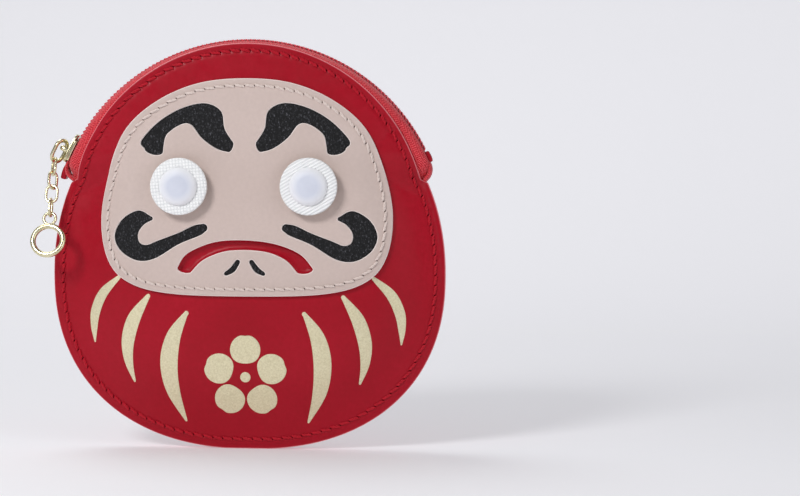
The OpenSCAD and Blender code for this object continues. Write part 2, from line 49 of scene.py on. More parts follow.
FRONT, BACK = -1, 1
WORD, FACING = {LEFT: "left", RIGHT: "right"}, {FRONT: "front", BACK: "back"}
rng = np.random.default_rng(7)

# ---- driving sizes, in mm
# sewn outline: half width, height of the widest level, height above it, squareness above and below it
HALF_W, WAIST_Z, UPPER_B, SQUARE, FOOT_SQUARE = 55.4, 49.0, 58.0, 2.12, 2.26
LEATHER_T, SWELL, CROWN_SWELL = 1.5, 3.6, 1.8
SWELL_RUN, CROWN_RUN = 18.0, 33.0     # distances from the rim over which the two swellings rise
# the zip's arc centre, the leather edge's arc, and the heights where sewn rim and edge arc end
ZIP_Z, EDGE_Z, EDGE_R, SHOULDER_Z, EDGE_FROM_Z = 59.5, 63.8, 49.9, 75.0, 76.0
GAPE, GAPE_FROM_Z, GAPE_RISE, GAPE_RIM = 4.2, 70.0, 14.0, 5.0     # how the panels part towards the zip
# half gap at the sewn rim, room for a lining, and the distances from the rim over which that room opens
RIM_GAP, LINING_ROOM, LINING_FROM, LINING_RUN = 0.02, 0.54, 0.8, 1.2
TOUCH, SEWN_GAP = 0.05, 0.1
RIM_MARGIN, EDGE_MARGIN, PITCH = 2.8, 2.0, 2.8        # seams' distance from the edges, stitch length
HOLE_DEPTH, HOLE_R, SEAM_DEPTH, SEAM_R = 0.2, 0.42, 0.1, 0.55     # dimples and furrow that threads pull in
FACE_T, INLAY_T, FOIL_LIFT, FOIL_SINK = 1.3, 0.8, 0.02, 0.12
EYE_X, EYE_Z, EYE_R, CAP_R = 18.05, 74.0, 7.95, 5.25
# tape: outer radius, angle where it starts to sink between the panels, half gap, thickness, angle of its
# sunk end and how deep that lies
TAPE_R, TAPE_FROM, TAPE_GAP, TAPE_T, TAPE_END, TAPE_SINK = 54.55, 21.5, 0.75, 0.45, 17.0, 2.8
TAPE_ROOT_R = 47.2                    # inner edge of the tape, sewn behind the leather
TEETH_LOW, TEETH_H, TOOTH_PITCH, TEETH_FROM, TEETH_TO = 54.6, 1.1, 1.25, 26.4, 155.6
TAB_FROM, TAB_A = {LEFT: 159.0, RIGHT: 22.6}, 3.2     # end tabs: start angles and sweep, in degrees
ZIP_MID_R = 55.0                      # radius at which lengths along the zip are measured
PLATEAU = RIM_GAP + LINING_ROOM + SWELL + CROWN_SWELL + LEATHER_T
FACE_Y = PLATEAU + SEWN_GAP + FACE_T


# ---- curves
def smooth(t):
    u = np.clip(t, 0, 1)
    return u * u * (3 - 2 * u)


def lifted(flat, y):
    """3-D points from points (x, z) and their y."""
    return np.column_stack([flat[:, 0], y, flat[:, 1]])


def bell(x, width):
    return np.exp(-(x / width) ** 2)


def spline(p, n, closed=False):
    """Catmull-Rom curve through control points, n steps to each span."""
    p = np.asarray(p, float)
    m = len(p)
    t = (np.arange(n) / n)[:, None]
    out = []
    for i in range(m if closed else m - 1):
        a, b, c, d = p[[(i + k) % m if closed else min(max(i + k, 0), m - 1) for k in (-1, 0, 1, 2)]]
        out.append(0.5 * (2 * b + (c - a) * t + (2 * a - 5 * b + 4 * c - d) * t**2
                          + (3 * b - a - 3 * c + d) * t**3))
    if not closed:
        out.append(p[-1:])
    return np.concatenate(out)


def run_along(p):
    """Length from the first point of an open polyline to each of its points."""
    return np.concatenate([[0], np.cumsum(np.linalg.norm(np.diff(p, axis=0), axis=1))])


def resample(p, step, closed=True):
    """The same polyline with points about one step apart."""
    p = np.asarray(p, float)
    q = np.vstack([p, p[:1]]) if closed else p
    run = run_along(q)
    count = max(3, round(run[-1] / step))
    s = np.linspace(0, run[-1], count + 1)[: count if closed else count + 1]
    return np.column_stack([np.interp(s, run, q[:, k]) for k in range(q.shape[1])])


def distance(points, path, closed=True):
    """Distance of each point from a polyline."""
    a = np.asarray(path, float)
    b = np.roll(a, -1, axis=0) if closed else a[1:]
    a = a if closed else a[:-1]
    v = b - a
    vv = np.maximum((v * v).sum(1), 1e-12)
    best = np.full(len(points), np.inf)
    for start in range(0, len(points), 4000):
        p = points[start:start + 4000, None, :] - a[None]
        t = np.clip((p * v).sum(2) / vv, 0, 1)
        best[start:start + 4000] = np.linalg.norm(p - t[..., None] * v, axis=2).min(1)
    return best


def inside(points, loops):
    """Even-odd test of points against closed loops."""
    odd = np.zeros(len(points), bool)
    x, z = points[:, 0][:, None], points[:, 1][:, None]
    for loop in loops:
        a, b = loop, np.roll(loop, -1, axis=0)
        dz = np.where(b[:, 1] == a[:, 1], 1e-12, b[:, 1] - a[:, 1])
        cross = ((a[:, 1] > z) != (b[:, 1] > z)) & (x < (b[:, 0] - a[:, 0]) * (z - a[:, 1]) / dz + a[:, 0])
        odd ^= (cross.sum(1) % 2).astype(bool)
    return odd


def unit(v):
    return v / np.linalg.norm(v, axis=1)[:, None]


def tangents(p):
    """Differences between the neighbours of each point on a closed path."""
    return np.roll(p, -1, axis=0) - np.roll(p, 1, axis=0)


def normals(t):
    """Unit normals to the right of 2-D tangents."""
    return unit(np.column_stack([t[:, 1], -t[:, 0]]))


def inset(loop, d):
    """A closed loop moved inwards by d, along its own normals."""
    n = normals(tangents(loop))
    area = (loop[:, 0] * np.roll(loop[:, 1], -1) - np.roll(loop[:, 0], -1) * loop[:, 1]).sum()
    return loop - n * d * np.sign(area)


def depth_in(points, loop):
    """Distance of each point inside a closed loop, negative outside it."""
    return distance(points, loop) * np.where(inside(points, [loop]), 1, -1)


def flip(points, side):
    return np.asarray(points) * [side, 1]


def polar(r, a):
    """Points at radius r and angles a, which are in radians."""
    return np.column_stack([r * np.cos(a), r * np.sin(a)])


def disc_outline(r, sides):
    return polar(r, np.linspace(0, 2 * math.pi, sides + 1)[:-1])


# ---- the case's own form
SHOULDER_A = math.asin(((SHOULDER_Z - WAIST_Z) / UPPER_B) ** (SQUARE / 2))


def sewn_edge(count):
    """Outer edge where the two panels are sewn together, from the right shoulder down and round."""
    a = np.linspace(SHOULDER_A, -math.pi - SHOULDER_A, count + 1)
    s, c = np.sin(a), np.cos(a)
    b = np.where(s > 0, UPPER_B, WAIST_Z + 0.15)
    q = 2 / np.where(s > 0, SQUARE, FOOT_SQUARE)
    return np.column_stack([HALF_W * np.sign(c) * np.abs(c) ** q,
                            np.maximum(0, WAIST_Z + b * np.sign(s) * np.abs(s) ** q)])


def arc(r, degrees, centre_z=ZIP_Z):
    return polar(r, np.radians(degrees)) + [0, centre_z]


EDGE_A = math.degrees(math.asin((EDGE_FROM_Z - EDGE_Z) / EDGE_R))
RIM = sewn_edge(90)
OPEN_EDGE = arc(EDGE_R, np.linspace(180 - EDGE_A, EDGE_A, 240), EDGE_Z)
CASE_LOOP = resample(np.vstack([sewn_edge(400), OPEN_EDGE]), 0.7)


def inner(p):
    """Distance of a panel's inner surface from the mid-plane at points (x, z)."""
    d = distance(p, RIM, closed=False)
    bulge = SWELL * smooth((d - RIM_MARGIN) / SWELL_RUN) + CROWN_SWELL * smooth(d / CROWN_RUN)
    gape = GAPE * smooth((p[:, 1] - GAPE_FROM_Z) / GAPE_RISE) * smooth(d / GAPE_RIM)
    return RIM_GAP + LINING_ROOM * smooth((d - LINING_FROM) / LINING_RUN) + np.maximum(bulge, gape)


def outer(p):
    return inner(np.asarray(p, float)) + LEATHER_T


RIM_SEAM = resample(sewn_edge(200)[1:-1], 1.0, closed=False)
spokes = RIM_SEAM - [0, 56]
RIM_SEAM = RIM_SEAM - unit(spokes) * RIM_MARGIN
TOP_SEAM = arc(EDGE_R - EDGE_MARGIN, np.linspace(179 - EDGE_A, EDGE_A + 1, 160), EDGE_Z)
RIM_SEAM = resample(np.vstack([TOP_SEAM[-1:], RIM_SEAM[2:-2], TOP_SEAM[:1]]), 1.0, closed=False)

# ---- outlines of the face, right half
FACE_HALF = [(0, 103.9), (13, 102.6), (24.5, 97.8), (33.3, 90.2), (38.2, 79.5), (40.9, 66),
             (39.2, 54.2), (33.4, 47.4), (21.5, 44.1)]
FACE_LOOP = spline(FACE_HALF + [(0, 43.4)] + [(-x, z) for x, z in FACE_HALF[:0:-1]], 24, closed=True)


def cap(p, q, away, bulge):
    """Half ellipse from p to q that bulges towards `away`."""
    c, half = (p + q) / 2, (p - q) / 2
    n = np.array([-half[1], half[0]])
    n = n if n @ away > 0 else -n
    t = np.linspace(0, math.pi, 9)[1:-1, None]
    return c + np.cos(t) * half + np.sin(t) * n * bulge


def band(one, other, n=10, bulge=1.0):
    """Closed shape between two edge curves, with rounded ends."""
    a, b = spline(one, n), spline(other, n)
    far, near = cap(a[-1], b[-1], a[-1] - a[-3], bulge), cap(b[0], a[0], a[0] - a[2], bulge)
    return np.vstack([a, far, b[::-1], near])


BROW = band([(28.1, 84.5), (29.1, 86.6), (24, 92), (17.5, 95.7), (11, 97), (6.6, 94.8), (5.6, 90),
             (3.4, 86.4)],
            [(22.9, 83.4), (22.7, 85.4), (21.8, 88.4), (18, 91.1), (15, 91.1), (12, 87.4), (8, 84.5),
             (4.6, 83.5)], 10, 0.45)
MOUSTACHE = band([(26.4, 65.6), (30, 67.2), (34.6, 64.7), (36.8, 60.3), (35.2, 56.1), (30.6, 53.3),
                  (25.4, 53.8), (18.6, 57.8), (12.6, 60.3), (11.2, 61.3)],
                 [(26.4, 64.4), (28.2, 63.4), (29.7, 61.6), (30.1, 59.8), (29.4, 58.1), (27.4, 57.6),
                  (24.4, 58.8), (18.6, 61), (14.4, 63), (11.9, 63.5)], 8)
MOUTH = band([(-19, 51.2), (-16.2, 55.2), (-8.6, 58.4), (0, 59), (8.4, 58), (15.4, 55.2), (19.1, 51.1)],
             [(-14.8, 50.4), (-11.6, 53.5), (-6, 55.8), (0.4, 56.3), (6.6, 55.6), (11.4, 53.5),
              (14.2, 50.6)], 10, 0.45)
NOSTRIL = band([(4.9, 49.2), (2.8, 50.3), (1.3, 52.7)], [(5.5, 50.2), (4, 51.4), (2.6, 53.2)])
STROKES = [
    band([(16.8, 39.2), (22, 33), (24.1, 25), (22.6, 16), (17.6, 7.6)],
         [(16.2, 37.9), (18.3, 31), (19.1, 23.5), (18.6, 16), (17, 8)], 8, 0.9),
    band([(27.7, 43.8), (33, 38), (35.2, 31), (34.6, 24.5), (32.1, 18.7)],
         [(26.9, 42.8), (29.8, 36), (31.6, 29.5), (32, 24), (31.5, 19.2)], 8, 0.9),
    band([(36, 49), (41.4, 45), (44.2, 39.5), (44.5, 34.5), (43.5, 29.8)],
         [(35.4, 48), (39.4, 43), (41.6, 38), (42.5, 33.5), (43, 30.2)], 8, 0.9)]
BLOSSOM_AT, PETAL_R, PETAL_OUT, HEART_R = np.array([0, 20.7]), 4.3, 7.7, 1.5


def petal(turn):
    """Round petal, slightly drawn in at its base and notched at its tip."""
    a = math.radians(turn)
    b = np.radians(np.arange(0, 360, 7.5))
    tip = np.degrees(np.minimum(b, 2 * math.pi - b))
    base = np.degrees(np.abs(b - math.pi))
    r = PETAL_R * (1 - 0.1 * smooth(1 - base / 55) - 0.08 * smooth(1 - tip / 22))
    c = BLOSSOM_AT + PETAL_OUT * np.array([math.sin(a), math.cos(a)])
    return c + r[:, None] * np.column_stack([np.sin(a + b), np.cos(a + b)])


PETALS = [petal(72 * k) for k in range(5)]
heart_turn = np.linspace(0, 6.1, 24)
HEART = BLOSSOM_AT + HEART_R * np.column_stack([np.sin(heart_turn), np.cos(heart_turn)])
FOILS = [flip(s, side) for side in (LEFT, RIGHT) for s in STROKES] + PETALS + [HEART]


# ---- mesh making
SHARP = 40        # faces that meet at more degrees than this keep a crisp edge


def in_scene(name, data):
    obj = bpy.data.objects.new(name, data)
    bpy.context.scene.collection.objects.link(obj)
    return obj


def mesh_of(name, verts, faces, scale=MM):
    mesh = bpy.data.meshes.new(name)
    mesh.from_pydata((np.asarray(verts, float) * scale).tolist(), [], [tuple(map(int, f)) for f in faces])
    return mesh


def make(name, verts, faces, look, body, replaces=(), attrs=None):
    """A mesh object from millimetre points: its look names its slot too."""
    mesh = mesh_of(name, verts, faces)
    mesh.validate()
    mesh.update()
    for key, values in (attrs or {}).items():
        layer = mesh.attributes.new(key, "FLOAT", "POINT")
        layer.data.foreach_set("value", np.asarray(values, np.float32))
    mesh.shade_smooth()
    mesh.set_sharp_from_angle(angle=math.radians(SHARP))
    mesh.materials.append(LOOKS[look])
    obj = in_scene(name, mesh)
    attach(obj, body)
    if replaces:
        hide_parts(*replaces)


def turned_over(faces):
    return [tuple(reversed(f)) for f in faces]


def join_parts(parts):
    """Several (verts, faces) as one."""
    verts, faces, base = [], [], 0
    for v, f in parts:
        verts.append(np.asarray(v, float))
        faces += [tuple(base + i for i in face) for face in f]
        base += len(v)
    return np.vstack(verts), faces


def ring_faces(rings, n, closed=False):
    """Faces of a skin over rings of n points each: capped at both ends, or closed on itself."""
    faces = [(i * n + k, i * n + (k + 1) % n, (i + 1) % rings * n + (k + 1) % n, (i + 1) % rings * n + k)
             for i in range(rings if closed else rings - 1) for k in range(n)]
    if not closed:
        faces += [tuple(range(n))[::-1], tuple((rings - 1) * n + k for k in range(n))]
    return faces


def tube(path, radius, sides=8, closed=False, squash=1.0, up=(0, -1, 0)):
    """Tube swept along 3-D points; squash flattens it across `up`."""
    p = np.asarray(path, float)
    n = len(p)
    t = unit(tangents(p) if closed else np.gradient(p, axis=0))
    u = unit(np.asarray(up, float) - t * (t @ np.asarray(up, float))[:, None])
    w = np.cross(t, u)
    r = np.broadcast_to(np.asarray(radius, float), (n,))[:, None, None]
    a = np.arange(sides) * 2 * math.pi / sides
    thick = np.cos(a)[None, :, None] * u[:, None] * squash + np.sin(a)[None, :, None] * w[:, None]
    return (p[:, None] + r * thick).reshape(-1, 3), ring_faces(n, sides, closed)


def hex_grid(loops, spacing, keep_off):
    """Points inside the loops on a staggered grid, clear of the loops by keep_off."""
    every = np.vstack(loops)
    lo, hi = every.min(0), every.max(0)
    rows = []
    for k, z in enumerate(np.arange(lo[1], hi[1], spacing * 0.866)):
        x = np.arange(lo[0] + (k % 2) * spacing / 2, hi[0], spacing)
        rows.append(np.column_stack([x, np.full(len(x), z)]))
    g = np.vstack(rows)
    g = g[inside(g, loops)]
    return g[np.min([distance(g, loop) for loop in loops], axis=0) > keep_off]


def sheet_mesh(loops, extra, spacing):
    """Points and triangles that fill the region between closed loops."""
    rows, edges, base = [], [], 0
    for loop in loops:
        n = len(loop)
        rows.append(loop)
        edges += [(base + i, base + (i + 1) % n) for i in range(n)]
        base += n
    pts = np.vstack(rows + ([extra] if len(extra) else []) + [hex_grid(loops, spacing, spacing * 0.55)])
    out = delaunay_2d_cdt([Vector(p) for p in pts], edges, [], 0, 1e-5)
    pts = np.array([tuple(v) for v in out[0]])
    tri = np.array([f for f in out[2] if len(f) == 3])
    tri = tri[inside(pts[tri].mean(1), loops)]
    return pts, tri


def plate(loops, top, bottom, radius, spacing, side=FRONT, extra=()):
    """Closed plate over a region: top and bottom give y for points, edges are rounded over."""
    near_edge = [inset(loop, d * (1 if k == 0 else -1)) for k, loop in enumerate(loops)
                 for d in (radius * 0.12, radius * 0.4, radius * 0.8, radius * 1.5)]
    more = np.vstack(near_edge + [np.asarray(e, float) for e in extra])
    more = more[inside(more, loops)]
    pts, tri = sheet_mesh(loops, more, spacing)
    d = np.min([distance(pts, loop) for loop in loops], axis=0)
    roll = radius - np.sqrt(np.maximum(0, radius**2 - np.maximum(0, radius - d) ** 2))
    low = bottom(pts)
    high = np.maximum(top(pts) - roll, low + 0.05)
    n = len(pts)
    verts = np.vstack([lifted(pts, side * high), lifted(pts, side * low)])
    a, b, c = pts[tri[:, 0]], pts[tri[:, 1]], pts[tri[:, 2]]
    ccw = ((b - a)[:, 0] * (c - a)[:, 1] - (b - a)[:, 1] * (c - a)[:, 0]) > 0
    tri = np.where(ccw[:, None], tri, tri[:, ::-1])
    sides = dict.fromkeys((t[k], t[(k + 1) % 3]) for t in tri.tolist() for k in range(3))
    rim = [(i, j) for i, j in sides if (j, i) not in sides]
    faces = tri.tolist() + (tri[:, ::-1] + n).tolist() + [(j, i, i + n, j + n) for i, j in rim]
    if side == BACK:
        faces = turned_over(faces)
    return verts, faces, np.concatenate([d, d]), pts


# ---- materials
def lin(r, g, b):
    """Linear colour from sRGB 0-255."""
    parts = (v / 255 / 12.92 if v <= 10 else ((v / 255 + 0.055) / 1.055) ** 2.4 for v in (r, g, b))
    return (*parts, 1)


LOOKS = {}        # each material made here, by the name it was given


class Mat:
    """A Principled material with short calls for the nodes that drive it."""

    def __init__(self, name, **sockets):
        mat = LOOKS[name] = bpy.data.materials.new(name)
        mat.use_nodes = True
        self.nt = mat.node_tree
        self.bsdf = self.nt.nodes["Principled BSDF"]
        for key, value in sockets.items():
            self.bsdf.inputs[key.replace("_", " ")].default_value = value
        coord = self.nt.nodes.new("ShaderNodeTexCoord")
        self.place = coord.outputs["Object"]

    def node(self, kind, links=(), **settings):
        n = self.nt.nodes.new("ShaderNode" + kind)
        for key, value in settings.items():
            if hasattr(n, key):
                setattr(n, key, value)
            else:
                n.inputs[key.replace("_", " ")].default_value = value
        for socket, source in dict(links).items():
            self.nt.links.new(source, n.inputs[socket])
        return n

    def noise(self, size_mm, detail=3, rough=0.5):
        return self.node("TexNoise", {"Vector": self.place}, Scale=1000 / size_mm, Detail=detail,
                         Roughness=rough).outputs["Fac"]

    def cells(self, size_mm, feature="F1", vector=None):
        return self.node("TexVoronoi", {"Vector": vector or self.place}, feature=feature,
                         Scale=1000 / size_mm).outputs["Distance"]

    def attr(self, name):
        return self.node("Attribute", attribute_name=name).outputs["Fac"]

    def plug(self, socket, v):
        """A link if v is another node's output, else a constant on the socket."""
        if hasattr(v, "is_output"):
            self.nt.links.new(v, socket)
        else:
            socket.default_value = v

    def math(self, op, a, b=0.5, clamp=False):
        n = self.node("Math", operation=op, use_clamp=clamp)
        self.plug(n.inputs[0], a)
        self.plug(n.inputs[1], b)
        return n.outputs[0]

    def ramp(self, source, stops):
        n = self.node("ValToRGB", {"Fac": source})
        r = n.color_ramp
        while len(r.elements) < len(stops):
            r.elements.new(0.5)
        for e, (pos, col) in zip(r.elements, stops):
            e.position = pos
            e.color = col if isinstance(col, tuple) else (col, col, col, 1)
        return n.outputs["Color"]

    def spread(self, source, low, high):
        """Ramp from low to high over the middle of a noise's range."""
        return self.ramp(source, [(0.3, low), (0.7, high)])

    def mix(self, fac, a, b):
        n = self.node("Mix", data_type="RGBA")
        for k, v in ((0, fac), (6, a), (7, b)):
            self.plug(n.inputs[k], v)
        return n.outputs[2]

    def color(self, source):
        self.nt.links.new(source, self.bsdf.inputs["Base Color"])

    def rough(self, source):
        self.nt.links.new(source, self.bsdf.inputs["Roughness"])

    def bump(self, height, depth_mm, strength=1.0, after=None):
        n = self.node("Bump", {"Height": height}, Strength=strength, Distance=depth_mm * MM)
        if after:
            self.nt.links.new(after, n.inputs["Normal"])
        self.nt.links.new(n.outputs["Normal"], self.bsdf.inputs["Normal"])
        return n.outputs["Normal"]


def leather(name, tones, edge, grain_mm, grain_depth, rough, **sockets):
    """Smooth leather in three tones, with fine pores and a painted highlight along its cut edge."""
    m = Mat(name, **sockets)
    cloud = m.noise(26, 2)
    fine = m.noise(1.1, 4, 0.6)
    tone = m.math("ADD", m.math("MULTIPLY", cloud, 0.5), m.math("MULTIPLY", fine, 0.5))
    base = m.ramp(tone, list(zip((0.3, 0.5, 0.7), tones)))
    # painted highlight: within a fraction of a millimetre of a cut edge the colour pales to the edge colour
    band = m.math("SUBTRACT", 1, m.math("DIVIDE", m.attr("edge_mm"), EDGE_HIGHLIGHT_MM), clamp=True)
    m.color(m.mix(band, base, edge))
    m.rough(m.spread(m.noise(3.5, 4), rough - 0.05, rough + 0.07))
    pores = m.cells(grain_mm)
    first = m.bump(pores, grain_depth, 0.6)
    m.bump(m.noise(0.12, 3), grain_depth * 0.35, 0.6, after=first)


EDGE_HIGHLIGHT_MM = 0.3        # width of the painted highlight along a cut edge, in mm


def grained_black():
    """Black leather pressed with fine oblique creases, flecked pale grey on the ridges."""
    m = Mat("black_leather", Specular_IOR_Level=0.28)
    stretch = m.node("Mapping", {"Vector": m.place})
    stretch.inputs["Rotation"].default_value = (0, math.radians(38), 0)
    stretch.inputs["Scale"].default_value = (1, 1, 0.45)
    cells = m.cells(0.7, "DISTANCE_TO_EDGE", stretch.outputs["Vector"])
    ridge = m.ramp(cells, [(0.02, 0.0), (0.28, 1.0)])
    fleck = m.ramp(m.noise(0.5, 5, 0.85), [(0.52, 0.0), (0.68, 1.0)])
    ridge_flecks = m.math("MULTIPLY", fleck, ridge)
    m.color(m.mix(ridge_flecks, lin(7, 7, 10), lin(112, 112, 120)))
    m.rough(m.ramp(ridge, [(0.0, 0.7), (1.0, 0.45)]))
    m.bump(ridge, 0.09, 0.9)


def foil():
    """Pale gold stamping: bright, a little broken by the leather's pores."""
    m = Mat("gold_foil", Metallic=0.75)
    speck = m.noise(0.5, 5, 0.75)
    worn = m.ramp(m.noise(0.22, 3, 0.7), [(0.60, 0.0), (0.68, 1.0)])
    tint = m.ramp(speck, [(0.35, lin(216, 206, 168)), (0.65, lin(240, 233, 202))])
    m.color(m.mix(m.math("MULTIPLY", worn, 0.25), tint, lin(150, 110, 90)))
    m.rough(m.spread(speck, 0.34, 0.56))
    m.bump(m.math("ADD", speck, m.cells(0.34)), 0.014, 0.6)


def metal():
    """Polished pale gold plating with faint rubbing."""
    m = Mat("gold_metal", Metallic=1.0, Coat_Weight=0.1, Coat_Roughness=0.1)
    rub = m.noise(2.2, 3, 0.5)
    m.color(m.ramp(m.noise(2.5, 3), [(0.35, lin(214, 205, 166)), (0.65, lin(230, 223, 190))]))
    m.rough(m.spread(rub, 0.2, 0.3))


def thread(name, dark, light):
    """Waxed sewing thread with fine fibres."""
    m = Mat(name, Roughness=0.6, Specular_IOR_Level=0.25)
    fibre = m.noise(0.14, 4, 0.7)
    m.color(m.spread(fibre, dark, light))
    m.bump(fibre, 0.03, 0.8)


def shadowed(name, dark, light):
    """Painted shade for the inside of a needle hole, where hardly any light gets in."""
    m = Mat(name, Specular_IOR_Level=0.0)
    m.color(m.spread(m.noise(0.3, 3), dark, light))
    m.rough(m.spread(m.noise(0.5, 2), 0.8, 0.95))


def woven_tape():
    """Herringbone tape: twill ribs that change direction from band to band, their tones partly painted
    highlight and shade.
    """
    m = Mat("zip_tape", Sheen_Weight=0.2, Sheen_Roughness=0.4, Specular_IOR_Level=0.25)
    along, across = m.attr("along_mm"), m.attr("across_mm")
    band = m.math("PINGPONG", across, 0.9)
    rib = m.math("SINE", m.math("MULTIPLY", m.math("ADD", along, m.math("MULTIPLY", band, 1.2)), 9.0))
    pick = m.math("SINE", m.math("MULTIPLY", across, 21))
    weave = m.math("ADD", m.math("MULTIPLY", rib, 0.6), m.math("MULTIPLY", pick, 0.2))
    fuzz = m.noise(0.45, 4, 0.75)
    # rib tones: partly the twill's own pattern, partly painted highlight and shade; the palest pink is a
    # painted highlight
    shade = m.math("ADD", m.math("MULTIPLY", weave, 0.3), m.math("ADD", m.math("MULTIPLY", fuzz, 0.6), 0.2))
    m.color(m.ramp(shade, [(0.25, lin(142, 8, 22)), (0.5, lin(212, 36, 50)), (0.78, lin(246, 112, 120))]))
    m.rough(m.spread(fuzz, 0.6, 0.8))
    m.bump(shade, 0.2, 1.0)


def coil_nylon():
    """Dyed nylon, slightly glossy."""
    m = Mat("zip_coil", Specular_IOR_Level=0.55)
    tone = m.noise(0.5, 3)
    m.color(m.spread(tone, lin(196, 36, 54), lin(230, 76, 90)))
    m.rough(m.spread(tone, 0.32, 0.48))
    m.bump(m.noise(0.18, 2), 0.01, 0.5)


def white_hide():
    """White leather with painted shade that makes it greyer where the pattern is pressed in."""
    m = Mat("white_leather", Specular_IOR_Level=0.3)
    hide = m.spread(m.noise(1.2, 4), lin(240, 241, 242), lin(248, 248, 248))
    # painted shade: the pressed lines are mixed towards grey
    m.color(m.mix(m.math("MULTIPLY", m.attr("press"), 0.75), hide, lin(212, 214, 215)))
    m.rough(m.spread(m.noise(0.8, 4), 0.42, 0.55))
    m.bump(m.cells(0.22), 0.012, 0.5)


def cap_gloss():
    """White enamel, bluish on the flat crown, with a painted highlight that brightens it over the rounded
    edge.
    """
    m = Mat("white_cap", Coat_Weight=0.12, Coat_Roughness=0.35, Specular_IOR_Level=0.3)
    away = m.math("DIVIDE", m.attr("radius_mm"), CAP_R)
    crown = m.ramp(m.noise(4, 3), [(0.35, lin(204, 208, 222)), (0.65, lin(210, 214, 227))])
    # painted highlight: the colour turns near white towards the cap's rounded edge
    m.color(m.mix(m.ramp(away, [(0.5, 0.0), (0.95, 1.0)]), crown, lin(240, 241, 245)))
    m.rough(m.spread(m.noise(1.1, 4), 0.42, 0.55))
    m.bump(m.noise(2.2, 2), 0.012, 0.3)


def lining_cloth():
    """Fine twill in a warm grey."""
    m = Mat("lining_fabric", Sheen_Weight=0.2)
    wave = m.node("TexWave", {"Vector": m.place}, wave_type="BANDS", bands_direction="DIAGONAL",
                  Scale=700, Distortion=0.6).outputs["Fac"]
    m.color(m.ramp(wave, [(0.2, lin(120, 104, 98)), (0.8, lin(152, 136, 128))]))
    m.rough(m.spread(m.noise(0.6, 3), 0.7, 0.85))
    m.bump(wave, 0.05, 0.6)


# the pale colour after each leather's three tones is its painted highlight along cut edges
leather("red_leather", (lin(150, 2, 24), lin(159, 3, 28), lin(168, 6, 34)), lin(246, 150, 158),
        0.34, 0.012, 0.36, Specular_IOR_Level=0.22)
leather("face_leather", (lin(195, 177, 170), lin(200, 182, 175), lin(206, 188, 181)),
        lin(250, 240, 236), 0.3, 0.01, 0.5, Specular_IOR_Level=0.3)
grained_black()
foil()
metal()
thread("red_thread", lin(158, 4, 26), lin(196, 18, 42))
thread("beige_thread", lin(206, 189, 182), lin(232, 219, 212))
# dark colours of the lenses that paint the shade inside the needle holes
shadowed("painted_hole_shade", lin(62, 0, 8), lin(88, 2, 14))
shadowed("face_painted_hole_shade", lin(78, 62, 58), lin(110, 92, 86))
woven_tape()
coil_nylon()
white_hide()
cap_gloss()
lining_cloth()


# ---- panels
def wander(p, size, height, phase):
    """Slow unevenness of hand-cut leather, as a sum of a few waves."""
    x, z = p[:, 0] / size, p[:, 1] / size
    return height * (np.sin(x * 1.3 + z * 0.7 + phase) + np.sin(z * 1.9 - x * 0.8 + 2 * phase)
                     + 0.5 * np.sin(2.7 * x + 2.1 * z + 3 * phase)) / 2.5


def stitch_points(path, closed=False):
    """Needle holes along a seam, one pitch apart."""
    run = run_along(np.vstack([path, path[:1]]) if closed else path)[-1]
    return resample(path, run / round(run / PITCH), closed)


def around(holes, r):
    """Points at each hole's centre and round it, so that the mesh can follow its dimple."""
    spots = [(0, 0)] + [(r, k * math.pi / 3) for k in range(6)]
    return [np.vstack([h + q * np.array([math.cos(a), math.sin(a)]) for h in holes]) for q, a in spots]


def dimples(p, holes, depth, r):
    """How far the surface is pulled in at points p round needle holes."""
    nearest = np.min([np.linalg.norm(p - h, axis=1) for h in holes], axis=0)
    return depth * bell(nearest, r)


RIM_HOLES = stitch_points(RIM_SEAM)
TOP_HOLES = stitch_points(TOP_SEAM)
CASE_HOLES = np.vstack([RIM_HOLES, TOP_HOLES])
MOUTH_DENT = 0.8      # the front panel is pressed in behind the open mouth


def panel(side):
    """Red leather shell with its pressed seams, foil stamping and unevenness."""
    foils = FOILS if side == FRONT else []
    guides = [inset(CASE_LOOP, d) for d in (1.3, 2.1, 3.6, 4.5)]
    if side == FRONT:
        guides += [inset(resample(MOUTH, 0.5), d) for d in (-0.4, 0, 0.4, 0.8)]
    guides += around(CASE_HOLES, 0.45)
    for f in foils:
        lip = resample(f, 0.5)
        guides += [lip, inset(lip, 0.3), inset(lip, -0.35)]

    def relief(p):
        y = wander(p, 19, 0.07, 1.0 if side == FRONT else 2.3) * smooth(distance(p, CASE_LOOP) / 6)
        for seam in (RIM_SEAM, TOP_SEAM):
            y -= SEAM_DEPTH * bell(distance(p, seam, closed=False), SEAM_R)
        y -= dimples(p, CASE_HOLES, HOLE_DEPTH, HOLE_R)
        if side == FRONT:
            y -= MOUTH_DENT * smooth((depth_in(p, MOUTH) + 0.3) / 1.2)
        for f in foils:
            d = depth_in(p, f)
            y -= 0.1 * smooth((d + 0.25) / 0.4) - 0.03 * bell(d + 0.45, 0.25)
        return y

    verts, faces, d, _ = plate([CASE_LOOP], lambda p: outer(p) + relief(p), inner, 0.32, 1.15, side, guides)
    name = FACING[side] + "_panel"
    make(name + "_leather", verts, faces, "red_leather", "case", [name], {"edge_mm": d})


for side in (FRONT, BACK):
    panel(side)

# ---- face panel and inlays
FACE_SEAM = inset(resample(FACE_LOOP, 0.8), EDGE_MARGIN)
FACE_HOLES = stitch_points(FACE_SEAM, closed=True)
WINDOWS = [resample(flip(loop, side), 0.45)
           for side in (LEFT, RIGHT) for loop in (BROW, MOUSTACHE, NOSTRIL)]
MOUTH_LOOP = resample(MOUTH, 0.45)


def face_seat(p):
    return outer(p) + SEWN_GAP


def face_top(p):
    y = face_seat(p) + FACE_T + wander(p, 14, 0.04, 0.4)
    y -= 0.05 * bell(distance(p, FACE_SEAM), 0.5)
    return y - dimples(p, FACE_HOLES, 0.14, 0.3)


